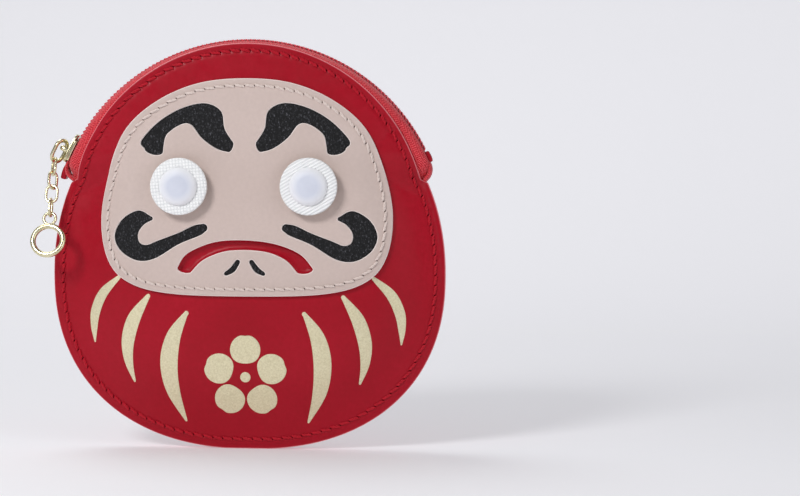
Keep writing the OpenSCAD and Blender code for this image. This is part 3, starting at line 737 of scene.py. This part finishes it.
verts, faces, d, _ = plate([resample(FACE_LOOP, 0.6)] + WINDOWS + [MOUTH_LOOP], face_top,
                           face_seat, 0.3, 1.0, FRONT, around(FACE_HOLES, 0.42))
make("face_panel_leather", verts, faces, "face_leather", "case", ["face_panel"], {"edge_mm": d})


def plates(loops, step, gap, top, bottom, radius, spacing):
    """Separate plates over several outlines, each a little smaller than its outline, as one mesh."""
    return join_parts([plate([inset(resample(loop, step), gap)], top, bottom, radius, spacing)[:2]
                       for loop in loops])


def inlays(name, loops):
    """Black leather slips let into the face panel's windows."""
    v, f = plates(loops, 0.5, 0.04, lambda p: face_seat(p) + INLAY_T, face_seat, 0.08, 0.9)
    make(name + "_leather", v, f, "black_leather", "case", [name])


for side in (LEFT, RIGHT):
    inlays("brow_" + WORD[side], [flip(BROW, side)])
    inlays("moustache_" + WORD[side], [flip(MOUSTACHE, side)])
inlays("nostril_inlays", [flip(NOSTRIL, LEFT), NOSTRIL])


def foils(name, loops):
    """Gold foil stamped into the front panel, following its unevenness."""
    def level(p):
        return outer(p) + wander(p, 19, 0.07, 1.0)

    v, f = plates(loops, 0.45, 0.03, lambda p: level(p) + FOIL_LIFT, lambda p: level(p) - FOIL_SINK,
                  0.06, 0.8)
    make(name + "_foil", v, f, "gold_foil", "case", [name])


foils("gold_strokes_left", [flip(s, LEFT) for s in STROKES])
foils("gold_strokes_right", STROKES)
foils("gold_blossom", PETALS + [HEART])


# ---- stitching
def stitches(holes, lift, side, closed=False, slant=0.3, ply_r=0.27):
    """Two-ply threads between needle holes, each a little askew, diving in at both ends."""
    parts = []
    n = len(holes)
    for k in range(n if closed else n - 1):
        a, b = holes[k], holes[(k + 1) % n]
        t = (b - a) / np.linalg.norm(b - a)
        across = np.array([-t[1], t[0]])
        lean = slant + 0.04 * rng.standard_normal()
        s = np.linspace(0.05, 0.95, 13)
        flat = a + np.outer(s, b - a) + np.outer((0.5 - s) * 2 * lean, across)
        rise = 0.4 * np.sin(np.pi * s) ** 0.5 - 0.26 + 0.02 * rng.standard_normal()
        mid = lifted(flat, side * (outer(flat) + lift + rise))
        for ply in range(2):
            w = 2 * np.pi * (s * 1.5) + ply * np.pi
            twist = np.outer(np.cos(w), [across[0], 0, across[1]]) + np.outer(np.sin(w), [0, side, 0])
            parts.append(tube(mid + 0.65 * ply_r * twist, ply_r, 6))
    return parts


def hole_shade_lenses(holes, lift, side, size=0.3):
    """Flat dark lens of painted shade in each needle hole, hardly raised above its dimple."""
    parts = []
    for h in holes:
        ring = h + disc_outline(size, 8)
        y = side * (outer(np.vstack([ring, h[None]])) + lift)
        v = np.vstack([lifted(ring, y[:8]),
                       [[h[0], y[8] + side * 0.02, h[1]], [h[0], y[8] - side * 0.15, h[1]]]])
        f = []
        for k in range(8):
            m = (k + 1) % 8
            f += [(k, m, 8), (m, k, 9)] if side == BACK else [(m, k, 8), (k, m, 9)]
        parts.append((v, f))
    return parts


for label, holes, node in (("rim", RIM_HOLES, "rim_stitching"), ("upper", TOP_HOLES, "upper_stitching")):
    v, f = join_parts(stitches(holes, 0, FRONT) + stitches(holes, 0, BACK, slant=-0.2))
    make(label + "_thread", v, f, "red_thread", "case", [node])
    # dark lenses of painted shade in the needle holes
    v, f = join_parts(hole_shade_lenses(holes, -0.14, FRONT) + hole_shade_lenses(holes, -0.14, BACK))
    make(label + "_hole_shade_lenses", v, f, "painted_hole_shade", "case")
v, f = join_parts(stitches(FACE_HOLES, SEWN_GAP + FACE_T, FRONT, closed=True, slant=0.3, ply_r=0.26))
make("face_thread", v, f, "beige_thread", "case", ["face_stitching"])
# dark lenses of painted shade in the face seam's needle holes
v, f = join_parts(hole_shade_lenses(FACE_HOLES, SEWN_GAP + FACE_T - 0.08, FRONT, 0.29))
make("face_hole_shade_lenses", v, f, "face_painted_hole_shade", "case")


# ---- zip
def tape_section(angle):
    """Cross-section of a tape as [radius, y], outer side then inner side."""
    start = TAPE_FROM + 0.5
    sunk = TAPE_SINK * float(smooth((start - min(angle, 180 - angle)) / (start - TAPE_END)))
    top = TAPE_R - sunk
    radii = np.array([top - 1.55, top - 3.4, TAPE_ROOT_R])
    h = inner(np.vstack([arc(r, [angle]) for r in radii])) - SEWN_GAP - 0.02
    flat = max(min(3.6, h[0] - 0.6), TAPE_GAP + 0.15)
    swell = 0.42 * float(smooth((flat - 2.3) / 1.2))
    out = [(top, TAPE_GAP), (top, min(1.7, flat - 0.1)), (top + swell, flat - 1.0 * (flat > 2.8)),
           (top + swell * 0.8, flat - 0.3 * (flat > 2.8)), (top - 0.45, flat + (h[0] - flat) * 0.62)]
    out = out[:2] + [q for q in out[2:] if q[1] > out[1][1] + 0.05] + list(zip(radii, h))
    out = resample(spline(out, 6), 0.32, closed=False)
    n = normals(np.gradient(out, axis=0))
    return out, out - TAPE_T * n * np.sign(n[0, 0])


def tape(side):
    """Woven tape on one side of the zip, from its sunk end at the right to the one at the left."""
    name = "zip_tape_" + FACING[side]
    angles = np.linspace(TAPE_END, 180 - TAPE_END, 250)
    rows, along, across = [], [], []
    count = min(len(tape_section(a)[0]) for a in (TAPE_END, 90, 180 - TAPE_END))
    for a in angles:
        out, back = tape_section(a)
        keep = np.linspace(0, len(out) - 1, count)
        pair = [np.column_stack([np.interp(keep, range(len(q)), q[:, k]) for k in (0, 1)])
                for q in (out, back)]
        q = np.vstack([pair[0], pair[1][::-1]])
        rows.append(lifted(arc(q[:, 0], a), side * q[:, 1]))
        run = run_along(pair[0])
        along += [math.radians(a) * TAPE_R] * (2 * count)
        across += list(run) + list(run[::-1])
    faces = ring_faces(len(angles), 2 * count)
    if side == FRONT:
        faces = turned_over(faces)
    make(name + "_woven", np.vstack(rows), faces, "zip_tape", "case", [name],
         {"along_mm": along, "across_mm": across})


def coil(side):
    """One row of the zip: a nylon monofilament wound in flat loops, with a knuckle at the middle."""
    name = "zip_teeth_" + FACING[side]
    step = math.degrees(TOOTH_PITCH / (TEETH_LOW + TEETH_H / 2))
    turns = int((TEETH_TO - TEETH_FROM) / step)
    t = np.arange(0, turns, 1 / 14)
    phase = t * 2 * np.pi
    across = 0.78 + 1.05 * np.cos(phase)
    y = side * np.where(np.cos(phase) < 0, across - 0.22 * np.cos(phase) ** 4, across)
    r = TEETH_LOW + 0.54 + 0.3 * np.sin(phase)
    lead = t + 0.13 * np.sin(phase)
    path = lifted(arc(r, TEETH_FROM + (lead + (0.5 if side == BACK else 0)) * step), y)
    fat = 0.25 + 0.07 * bell(np.cos(phase) + 1, 0.35)
    v, f = tube(path, fat, 7, up=(0.1, 0.2, 1))
    make(name + "_coil", v, f, "zip_coil", "case", [name])


for draw in (tape, coil):
    draw(FRONT)
    draw(BACK)


def turned_end(side):
    """The joined tape ends, rolled over beyond the last tooth and tucked into the case."""
    degrees = [24.4, 23.0, 21.6, 20.2, 18.9, 17.9, 17.4, 17.2]
    r = np.array([54.0, 54.3, 54.4, 54.0, 53.0, 51.6, 49.8, 47.8])
    r[:5] += 1.0 if side == LEFT else 0.3
    line = spline(flip(arc(r, degrees), side), 6)
    room = np.clip(inner(line) - 0.55, 0.6, 2.6)
    sunk = smooth((np.hypot(line[:, 0], line[:, 1] - EDGE_Z) - EDGE_R + 0.6) / 2.2)
    width = (room + (2.6 - room) * sunk) / 2.6
    across = spline([[0, -2.6, 0.3], [0, -1.9, 0.72], [0, 0, 0.95], [0, 1.9, 0.72], [0, 2.6, 0.3]], 5)
    n = normals(np.gradient(line, axis=0)) * -side
    verts, along, wide = [], [], []
    for k, p in enumerate(line):
        for sign, row in ((1, across), (-1, across[::-1])):
            for _, y, h in row:
                q = p + sign * (h - 0.25) * n[k]
                verts.append([q[0], y * width[k], q[1]])
                along.append(0.35 * k)
                wide.append(y)
    faces = ring_faces(len(line), 2 * len(across))
    if side == LEFT:
        faces = turned_over(faces)
    make("zip_tape_turned_" + WORD[side], verts, faces, "zip_tape", "case",
         attrs={"along_mm": along, "across_mm": wide})


# ---- rounded solids
def rounded(verts, faces, width, segments=3, angle=35):
    """The same solid with its sharp edges rounded over."""
    mesh = mesh_of("rounding", verts, faces, 1)
    mesh.update()
    obj = in_scene("rounding", mesh)
    mod = obj.modifiers.new("edge", "BEVEL")
    mod.width, mod.segments, mod.limit_method = width, segments, "ANGLE"
    mod.angle_limit = math.radians(angle)
    done = obj.evaluated_get(bpy.context.evaluated_depsgraph_get()).to_mesh()
    v = np.array([p.co[:] for p in done.vertices])
    f = [tuple(p.vertices) for p in done.polygons]
    bpy.data.objects.remove(obj)
    bpy.data.meshes.remove(mesh)
    return v, f


def prism(outline, low, high):
    """Outline in the (u, v) plane, raised from low to high along w."""
    verts = [[p[0], p[1], w] for w in (low, high) for p in outline]
    faces = ring_faces(2, len(outline))
    area = sum(p[0] * q[1] - q[0] * p[1] for p, q in zip(outline, np.roll(outline, -1, axis=0)))
    return verts, faces if area > 0 else turned_over(faces)


def box_part(lo, hi, steps=1):
    """Box between two corners, divided along u so that it can follow the zip's arc."""
    us = np.linspace(lo[0], hi[0], steps + 1)
    outline = [(u, lo[1]) for u in us] + [(u, hi[1]) for u in us[::-1]]
    return prism(outline, lo[2], hi[2])


def on_arc(verts, centre):
    """(u, y, r): u along the zip in mm from an angle of its arc, y across, r from the arc's centre."""
    v = np.asarray(verts, float)
    a = math.radians(centre) + v[:, 0] / ZIP_MID_R
    return lifted(polar(v[:, 2], a) + [0, ZIP_Z], v[:, 1])


def turn(v, degrees, axis):
    return np.asarray(v) @ np.array(Matrix.Rotation(math.radians(degrees), 3, axis)).T


def at_arc(v, angle):
    """Points (r, y, along) set at an angle of the zip's arc, without bending them round it."""
    return turn(v, -angle, "Y") + [0, 0, ZIP_Z]


def oriented(verts, faces):
    """Faces turned so that the closed solid's volume is positive."""
    v = np.asarray(verts, float)
    volume = 0.0
    for f in faces:
        for k in range(1, len(f) - 1):
            volume += v[f[0]] @ np.cross(v[f[k]], v[f[k + 1]])
    return v, (faces if volume > 0 else turned_over(faces))


# ---- end tabs
def end_tab(side):
    """Strip of red leather folded over the end of the zip."""
    node = "zip_end_tab_" + WORD[side]
    centre = TAB_FROM[side] + TAB_A / 2
    half = math.radians(TAB_A / 2) * ZIP_MID_R + (0.5 if side == LEFT else 0.05)
    v, f = box_part((-half, -1.8, TEETH_LOW - 0.1), (half, 1.8, TEETH_LOW + 1.4), 10)
    v, f = rounded(v, f, 0.5, 5)
    crown = (v[:, 2] > TEETH_LOW + 0.6) * (1 - (v[:, 0] / half) ** 2) * (1 - (v[:, 1] / 2.6) ** 2)
    v[:, 2] += 0.25 * crown
    v, f = oriented(on_arc(v, centre), f)
    make(node + "_leather", v, f, "red_leather", "case", [node],
         {"edge_mm": np.full(len(v), 2.0)})


for side in (LEFT, RIGHT):
    turned_end(side)
    end_tab(side)

# ---- slider
# angle of the slider on the zip's arc, undersides of its two plates and walls, plate thickness
SLIDER_AT, OUTER_R, INNER_R, WALL_LOW, PLATE_T = 153.5, 55.95, 52.95, 55.25, 0.8
# bail: clear height, half width, thickness, length along the zip and its place; then the pull loop
BAIL_OPEN, BAIL_HALF, BAIL_T, BAIL_L, BAIL_AT = 1.8, 1.9, 0.7, 1.4, 0.3
LOOP_W, LOOP_L, LOOP_WIRE, LOOP_TILT, LOOP_DROP = 5.4, 7.6, 1.0, 57.0, 2.2
WIRE_MORE = 0.11                      # how much thicker the loop's wire looks than its CAD wire


def slider():
    """Cast slider: two shields, side walls, the wedge between the rows and the bail on top."""
    heel = [(-4.2, 0), (-4.1, 1.6), (-3.4, 2.5), (-1.4, 2.9), (1.6, 3.25), (3.3, 3.2), (4.05, 2.4),
            (4.2, 1.2)]
    shield = spline(heel + [(4.2, 0)] + [(u, -y) for u, y in heel[:0:-1]], 5, closed=True)
    inner_shield = shield * [0.97, 0.8]
    parts = []
    for outline, low in ((shield, OUTER_R), (inner_shield, INNER_R)):
        parts.append(rounded(*prism(outline, low, low + PLATE_T), 0.2))
    for sign in (LEFT, RIGHT):
        lo, hi = sorted((sign * 2.35, sign * 3.15))
        parts.append(rounded(*box_part((-2.6, lo, WALL_LOW), (3.4, hi, OUTER_R + 0.2), 6), 0.18))
    parts.append(rounded(*box_part((2.4, -0.5, INNER_R + 0.6), (4.0, 0.5, OUTER_R + 0.2), 2), 0.15))
    parts = [oriented(on_arc(v, SLIDER_AT), f) for v, f in parts]
    foot, top, half = OUTER_R + 0.5, OUTER_R + PLATE_T + BAIL_OPEN + BAIL_T / 2, BAIL_HALF + BAIL_T / 2
    leg = [(half, foot), (half, top - 0.9), (half - 0.3, top - 0.18), (half - 1, top)]
    arch = spline([(0, -y, r) for y, r in leg] + [(0, y, r) for y, r in leg[::-1]], 6)
    v, f = tube(arch, BAIL_T / 2, 12, squash=BAIL_L / BAIL_T, up=(1, 0, 0))
    v = at_arc(v[:, ::-1] + [0, 0, BAIL_AT + BAIL_L / 2], SLIDER_AT)
    parts.append(oriented(v, f))
    v, f = join_parts(parts)
    make("zip_slider_cast", v, f, "gold_metal", "slider", ["zip_slider"])


slider()


# ---- pull chain
def wire_link(width, length, wire, flat=1.0, square=2.6):
    """Link in the XZ plane, long way along Z, of a pressed wire: a superellipse in section."""
    bend, straight = (width - wire) / 2, length - width
    a = np.radians(np.arange(0, 180.1, 6))
    top = polar(bend, a) + [0, straight / 2]
    path = np.vstack([top, -top])
    centre = resample(path, 0.2)
    n = normals(tangents(centre))
    b = np.arange(0, 2 * math.pi, math.pi / 10)
    c, s = np.cos(b), np.sin(b)
    u = np.sign(c) * np.abs(c) ** (2 / square) * wire / 2
    w = np.sign(s) * np.abs(s) ** (2 / square) * wire / 2 * flat
    rings = [lifted(p + np.outer(u, k), w) for p, k in zip(centre, n)]
    return oriented(np.vstack(rings), ring_faces(len(rings), len(b), closed=True))


bail_mid = OUTER_R + PLATE_T + BAIL_OPEN / 2
loop_side = (LOOP_W - LOOP_WIRE) / 2
v, f = wire_link(LOOP_W, LOOP_L, LOOP_WIRE + WIRE_MORE, 0.85)
v = turn(v + [loop_side, 0, 0], -LOOP_TILT, "Z") + [bail_mid, 0, LOOP_DROP]
make("pull_loop_wire", at_arc(v, SLIDER_AT), f, "gold_metal", "loop", ["pull_loop"])

LINK_L, LINK_W, LINK_WIRE, CHAIN_LEAN, SLACK = 5.7, 3.9, 0.75, 22.4, 0.06
LINK_TURNS = [118, 58, 0, 90]         # turn of each link about the chain, in degrees
RING_R, RING_WIRE, EYELET_R, EYELET_WIRE = 4.4, 1.2, 1.7, 0.85
RING_MORE, RING_IN = 0.2, 0.13        # wire radius added to the CAD ring, and how far that goes inwards
loop_x = bail_mid + loop_side * math.cos(math.radians(LOOP_TILT))
loop_end = LOOP_DROP + (LOOP_L - LOOP_WIRE) / 2
chain_top = at_arc([loop_x, -loop_side * math.sin(math.radians(LOOP_TILT)), loop_end], SLIDER_AT)
first_drop = (LOOP_WIRE + LINK_WIRE) / 2 + SLACK - (LINK_L - LINK_WIRE) / 2
link_step = LINK_L - 2 * LINK_WIRE - SLACK


def on_chain(v, down, angle):
    return turn(turn(v, angle, "Z") + [0, 0, down], -CHAIN_LEAN, "X") + chain_top


for k, angle in enumerate(LINK_TURNS):
    v, f = wire_link(LINK_W, LINK_L, LINK_WIRE, 0.95, 3.2)
    link = "link_%d" % (k + 1)
    make("chain_" + link + "_wire", on_chain(v, first_drop - k * link_step, angle), f, "gold_metal", link,
         ["chain_" + link])

eyelet_up = RING_R + EYELET_R + 0.4
eyelet_down = (first_drop - 3 * link_step - (LINK_L - LINK_WIRE) / 2 + (LINK_WIRE + EYELET_WIRE) / 2
               + SLACK - EYELET_R)


def circle(r, start, end, step):
    a = np.radians(np.arange(start, end, step))
    return lifted(polar(r, a), np.zeros(len(a)))


ring = tube(circle(RING_R - RING_IN, 0, 360, 3), RING_WIRE / 2 + RING_MORE, 20, closed=True)
eyelet = tube(circle(EYELET_R, -62, 242.1, 8), EYELET_WIRE / 2, 14)
v, f = join_parts([oriented(*ring), oriented(eyelet[0] + [0, 0, eyelet_up], eyelet[1])])
make("pull_ring_wire", on_chain(v, eyelet_down - eyelet_up, 0), f, "gold_metal", "ring", ["pull_ring"])

# ---- eyes
DISC_T, CAP_H, RIVET_D, GRID, RIB = 1.3, 2.0, 2.8, 0.9, 0.85
STUD_FLANGE_T, SOCKET_GAP, SOCKET_T = 0.5, 0.2, 1.65
DISC_Y = FACE_Y + TOUCH + STUD_FLANGE_T + SOCKET_GAP + SOCKET_T + TOUCH
CAP_Y = DISC_Y + DISC_T + TOUCH


def eye_disc(side):
    """White leather disc pressed with lines: squares on the left one, slanted ribs on the right."""
    word = WORD[side]
    centre = np.array([side * EYE_X, EYE_Z])

    def pressed(p):
        x, z = (p - centre).T
        if side == LEFT:
            tilt = math.radians(6)
            u, v = x * math.cos(tilt) + z * math.sin(tilt), z * math.cos(tilt) - x * math.sin(tilt)
            lines = sum(bell(np.sin(math.pi * w / GRID), 0.42) for w in (u, v))
            return np.minimum(lines, 1)
        slope = math.radians(30)
        u = z * math.cos(slope) - x * math.sin(slope)
        return smooth(0.5 - 0.9 * np.sin(2 * math.pi * u / RIB))

    def top(p):
        r = np.hypot(*(p - centre).T)
        return DISC_Y + DISC_T - 0.16 * pressed(p) - 0.25 * smooth((r - 6.4) / 1.6)

    v, f, _, pts = plate([centre + disc_outline(EYE_R, 120)], top, lambda p: np.full(len(p), DISC_Y),
                         0.4, 0.17)
    # how deep each point is pressed, which the white leather turns into painted shade
    groove_shade_mask = np.concatenate([pressed(pts), np.zeros(len(pts))])
    make("eye_disc_%s_leather" % word, v, f, "white_leather", "eye_" + word, ["eye_disc_" + word],
         {"press": groove_shade_mask})


def turned_solid(profile, sides=96):
    """Solid of revolution about -Y from a profile of (radius, height)."""
    rings = [lifted(disc_outline(r, sides), np.full(sides, -h)) for r, h in profile]
    return oriented(np.vstack(rings), ring_faces(len(rings), sides))


def eye_cap(side):
    """Domed press-stud cap with a broad flat crown and a shank that runs through the disc."""
    word = WORD[side]
    shoulder = [(0, 0), (0, 0.12), (0.12, 0.5), (0.5, 1.0), (1.05, 1.42), (1.75, 1.74), (2.6, 1.92)]
    v, f = turned_solid(spline([(CAP_R - d, h) for d, h in shoulder] + [(0.8, CAP_H)], 6))
    v = v + [side * EYE_X, -CAP_Y, EYE_Z]
    pin = turned_solid([(RIVET_D / 2, 0), (RIVET_D / 2, DISC_T + 0.1)], 32)
    v, f = join_parts([(v, f), (pin[0] + [side * EYE_X, -CAP_Y + DISC_T, EYE_Z], pin[1])])
    make("eye_cap_%s_dome" % word, v, f, "white_cap", "eye_" + word, ["eye_cap_" + word],
         {"radius_mm": np.hypot(v[:, 0] - side * EYE_X, v[:, 2] - EYE_Z)})


for side in (LEFT, RIGHT):
    eye_disc(side)
    eye_cap(side)


# ---- linings
LINING_T, STUD_BACK_ROOM = 0.34, 4.7


def lining(side):
    """Cloth lining behind a panel, sewn in at the rim and cut back under the zip's tape."""
    name = FACING[side] + "_lining"
    loop = resample(inset(CASE_LOOP, 2.4), 0.9)
    holes = []
    if side == FRONT:
        holes = [np.array([s * EYE_X, EYE_Z]) + disc_outline(STUD_BACK_ROOM, 40) for s in (LEFT, RIGHT)]

    def outside(p):
        v = p - [0, ZIP_Z]
        a = np.degrees(np.arctan2(v[:, 1], np.abs(v[:, 0])))
        room = 0.62 * smooth((a - 15) / 5) * smooth((np.linalg.norm(v, axis=1) - 43.5) / 2)
        return np.maximum(RIM_GAP + 0.4, inner(p) - TOUCH - room - 0.03)

    v, f, _, _ = plate([loop] + holes, outside, lambda p: outside(p) - LINING_T, 0.12, 2.2, side)
    make(name + "_cloth", v, f, "lining_fabric", "case", [name])


for side in (FRONT, BACK):
    lining(side)

# ---- CAD nodes that stay, with finer materials
for word in ("left", "right"):
    for node in ("eye_stud_", "stud_back_", "eye_socket_"):
        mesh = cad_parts[node + word].data
        mesh.materials.clear()
        mesh.materials.append(LOOKS["gold_metal"])

# ---- floor, light and camera
def sweep():
    """Pale paper sweep: a floor that curves up behind the case and glows a little."""
    line = spline([(-900, 0), (-400, 0), (100, 0), (350, 0), (620, 30), (900, 190), (1100, 520),
                   (1150, 1500)], 12)
    xs = np.linspace(-2400, 2400, 13)
    verts = [[x, y, z] for y, z in line for x in xs]
    n = len(xs)
    faces = [(i * n + k, i * n + k + 1, (i + 1) * n + k + 1, (i + 1) * n + k)
             for i in range(len(line) - 1) for k in range(n - 1)]
    m = Mat("paper_sweep", Base_Color=lin(218, 218, 221), Emission_Color=lin(231, 231, 236),
            Specular_IOR_Level=0.1)
    m.rough(m.spread(m.noise(9, 3), 0.75, 0.85))
    depth = m.node("SeparateXYZ", {"Vector": m.place}).outputs["Y"]
    glow = m.node("MapRange", {"Value": depth}, interpolation_type="SMOOTHSTEP")
    for key, value in zip(("From Min", "From Max", "To Min", "To Max"), GLOW):
        glow.inputs[key].default_value = value
    m.nt.links.new(glow.outputs["Result"], m.bsdf.inputs["Emission Strength"])
    mesh = mesh_of("sweep", verts, faces)
    mesh.shade_smooth()
    mesh.materials.append(LOOKS["paper_sweep"])
    in_scene("sweep", mesh)


def area_light(name, place, size, watts):
    """Round soft light that points at the middle of the case."""
    light = bpy.data.lights.new(name, "AREA")
    light.shape, light.size, light.energy = "DISK", size * MM, watts
    obj = in_scene(name, light)
    obj.location = Vector(place) * MM
    obj.rotation_euler = (Vector(MIDDLE) - Vector(place)).to_track_quat("-Z", "Y").to_euler()


GLOW = (0.05, 0.9, 0.24, 0.55)      # floor depth from and to in metres, glow from and to
sweep()
MIDDLE = (0, -4, 56)
area_light("key", (-290, -560, 430), 230, 2.95)
area_light("fill", (620, -420, 260), 500, 0.95)
area_light("back", (-240, 200, 700), 420, 1.7)
world = bpy.data.worlds.new("studio")
world.use_nodes = True
glow_round = world.node_tree.nodes["Background"].inputs
glow_round["Color"].default_value = (0.98, 0.98, 1.0, 1)
glow_round["Strength"].default_value = 0.225
bpy.context.scene.world = world
bpy.context.scene.view_settings.view_transform = "Standard"

AZIMUTH, ELEVATION, DISTANCE = 7.0, 2.5, 600.0
VIEW_W = 223.776                      # width of what the camera takes in at the case, in mm
SHIFT_X, SHIFT_Y = 0.19175, 0.003125  # the case stands left of the middle, as shares of the view's width
camera = bpy.data.cameras.new("camera")
camera.sensor_width = 36
camera.lens = DISTANCE * camera.sensor_width / VIEW_W
camera.shift_x, camera.shift_y = SHIFT_X, SHIFT_Y
camera.clip_start, camera.clip_end = 0.01, 20
az, el = math.radians(AZIMUTH), math.radians(ELEVATION)
away = Vector((math.sin(az) * math.cos(el), -math.cos(az) * math.cos(el), math.sin(el)))
viewer = in_scene("camera", camera)
viewer.location = (Vector(MIDDLE) + away * DISTANCE) * MM
viewer.rotation_euler = (-away).to_track_quat("-Z", "Y").to_euler()
bpy.context.scene.camera = viewer
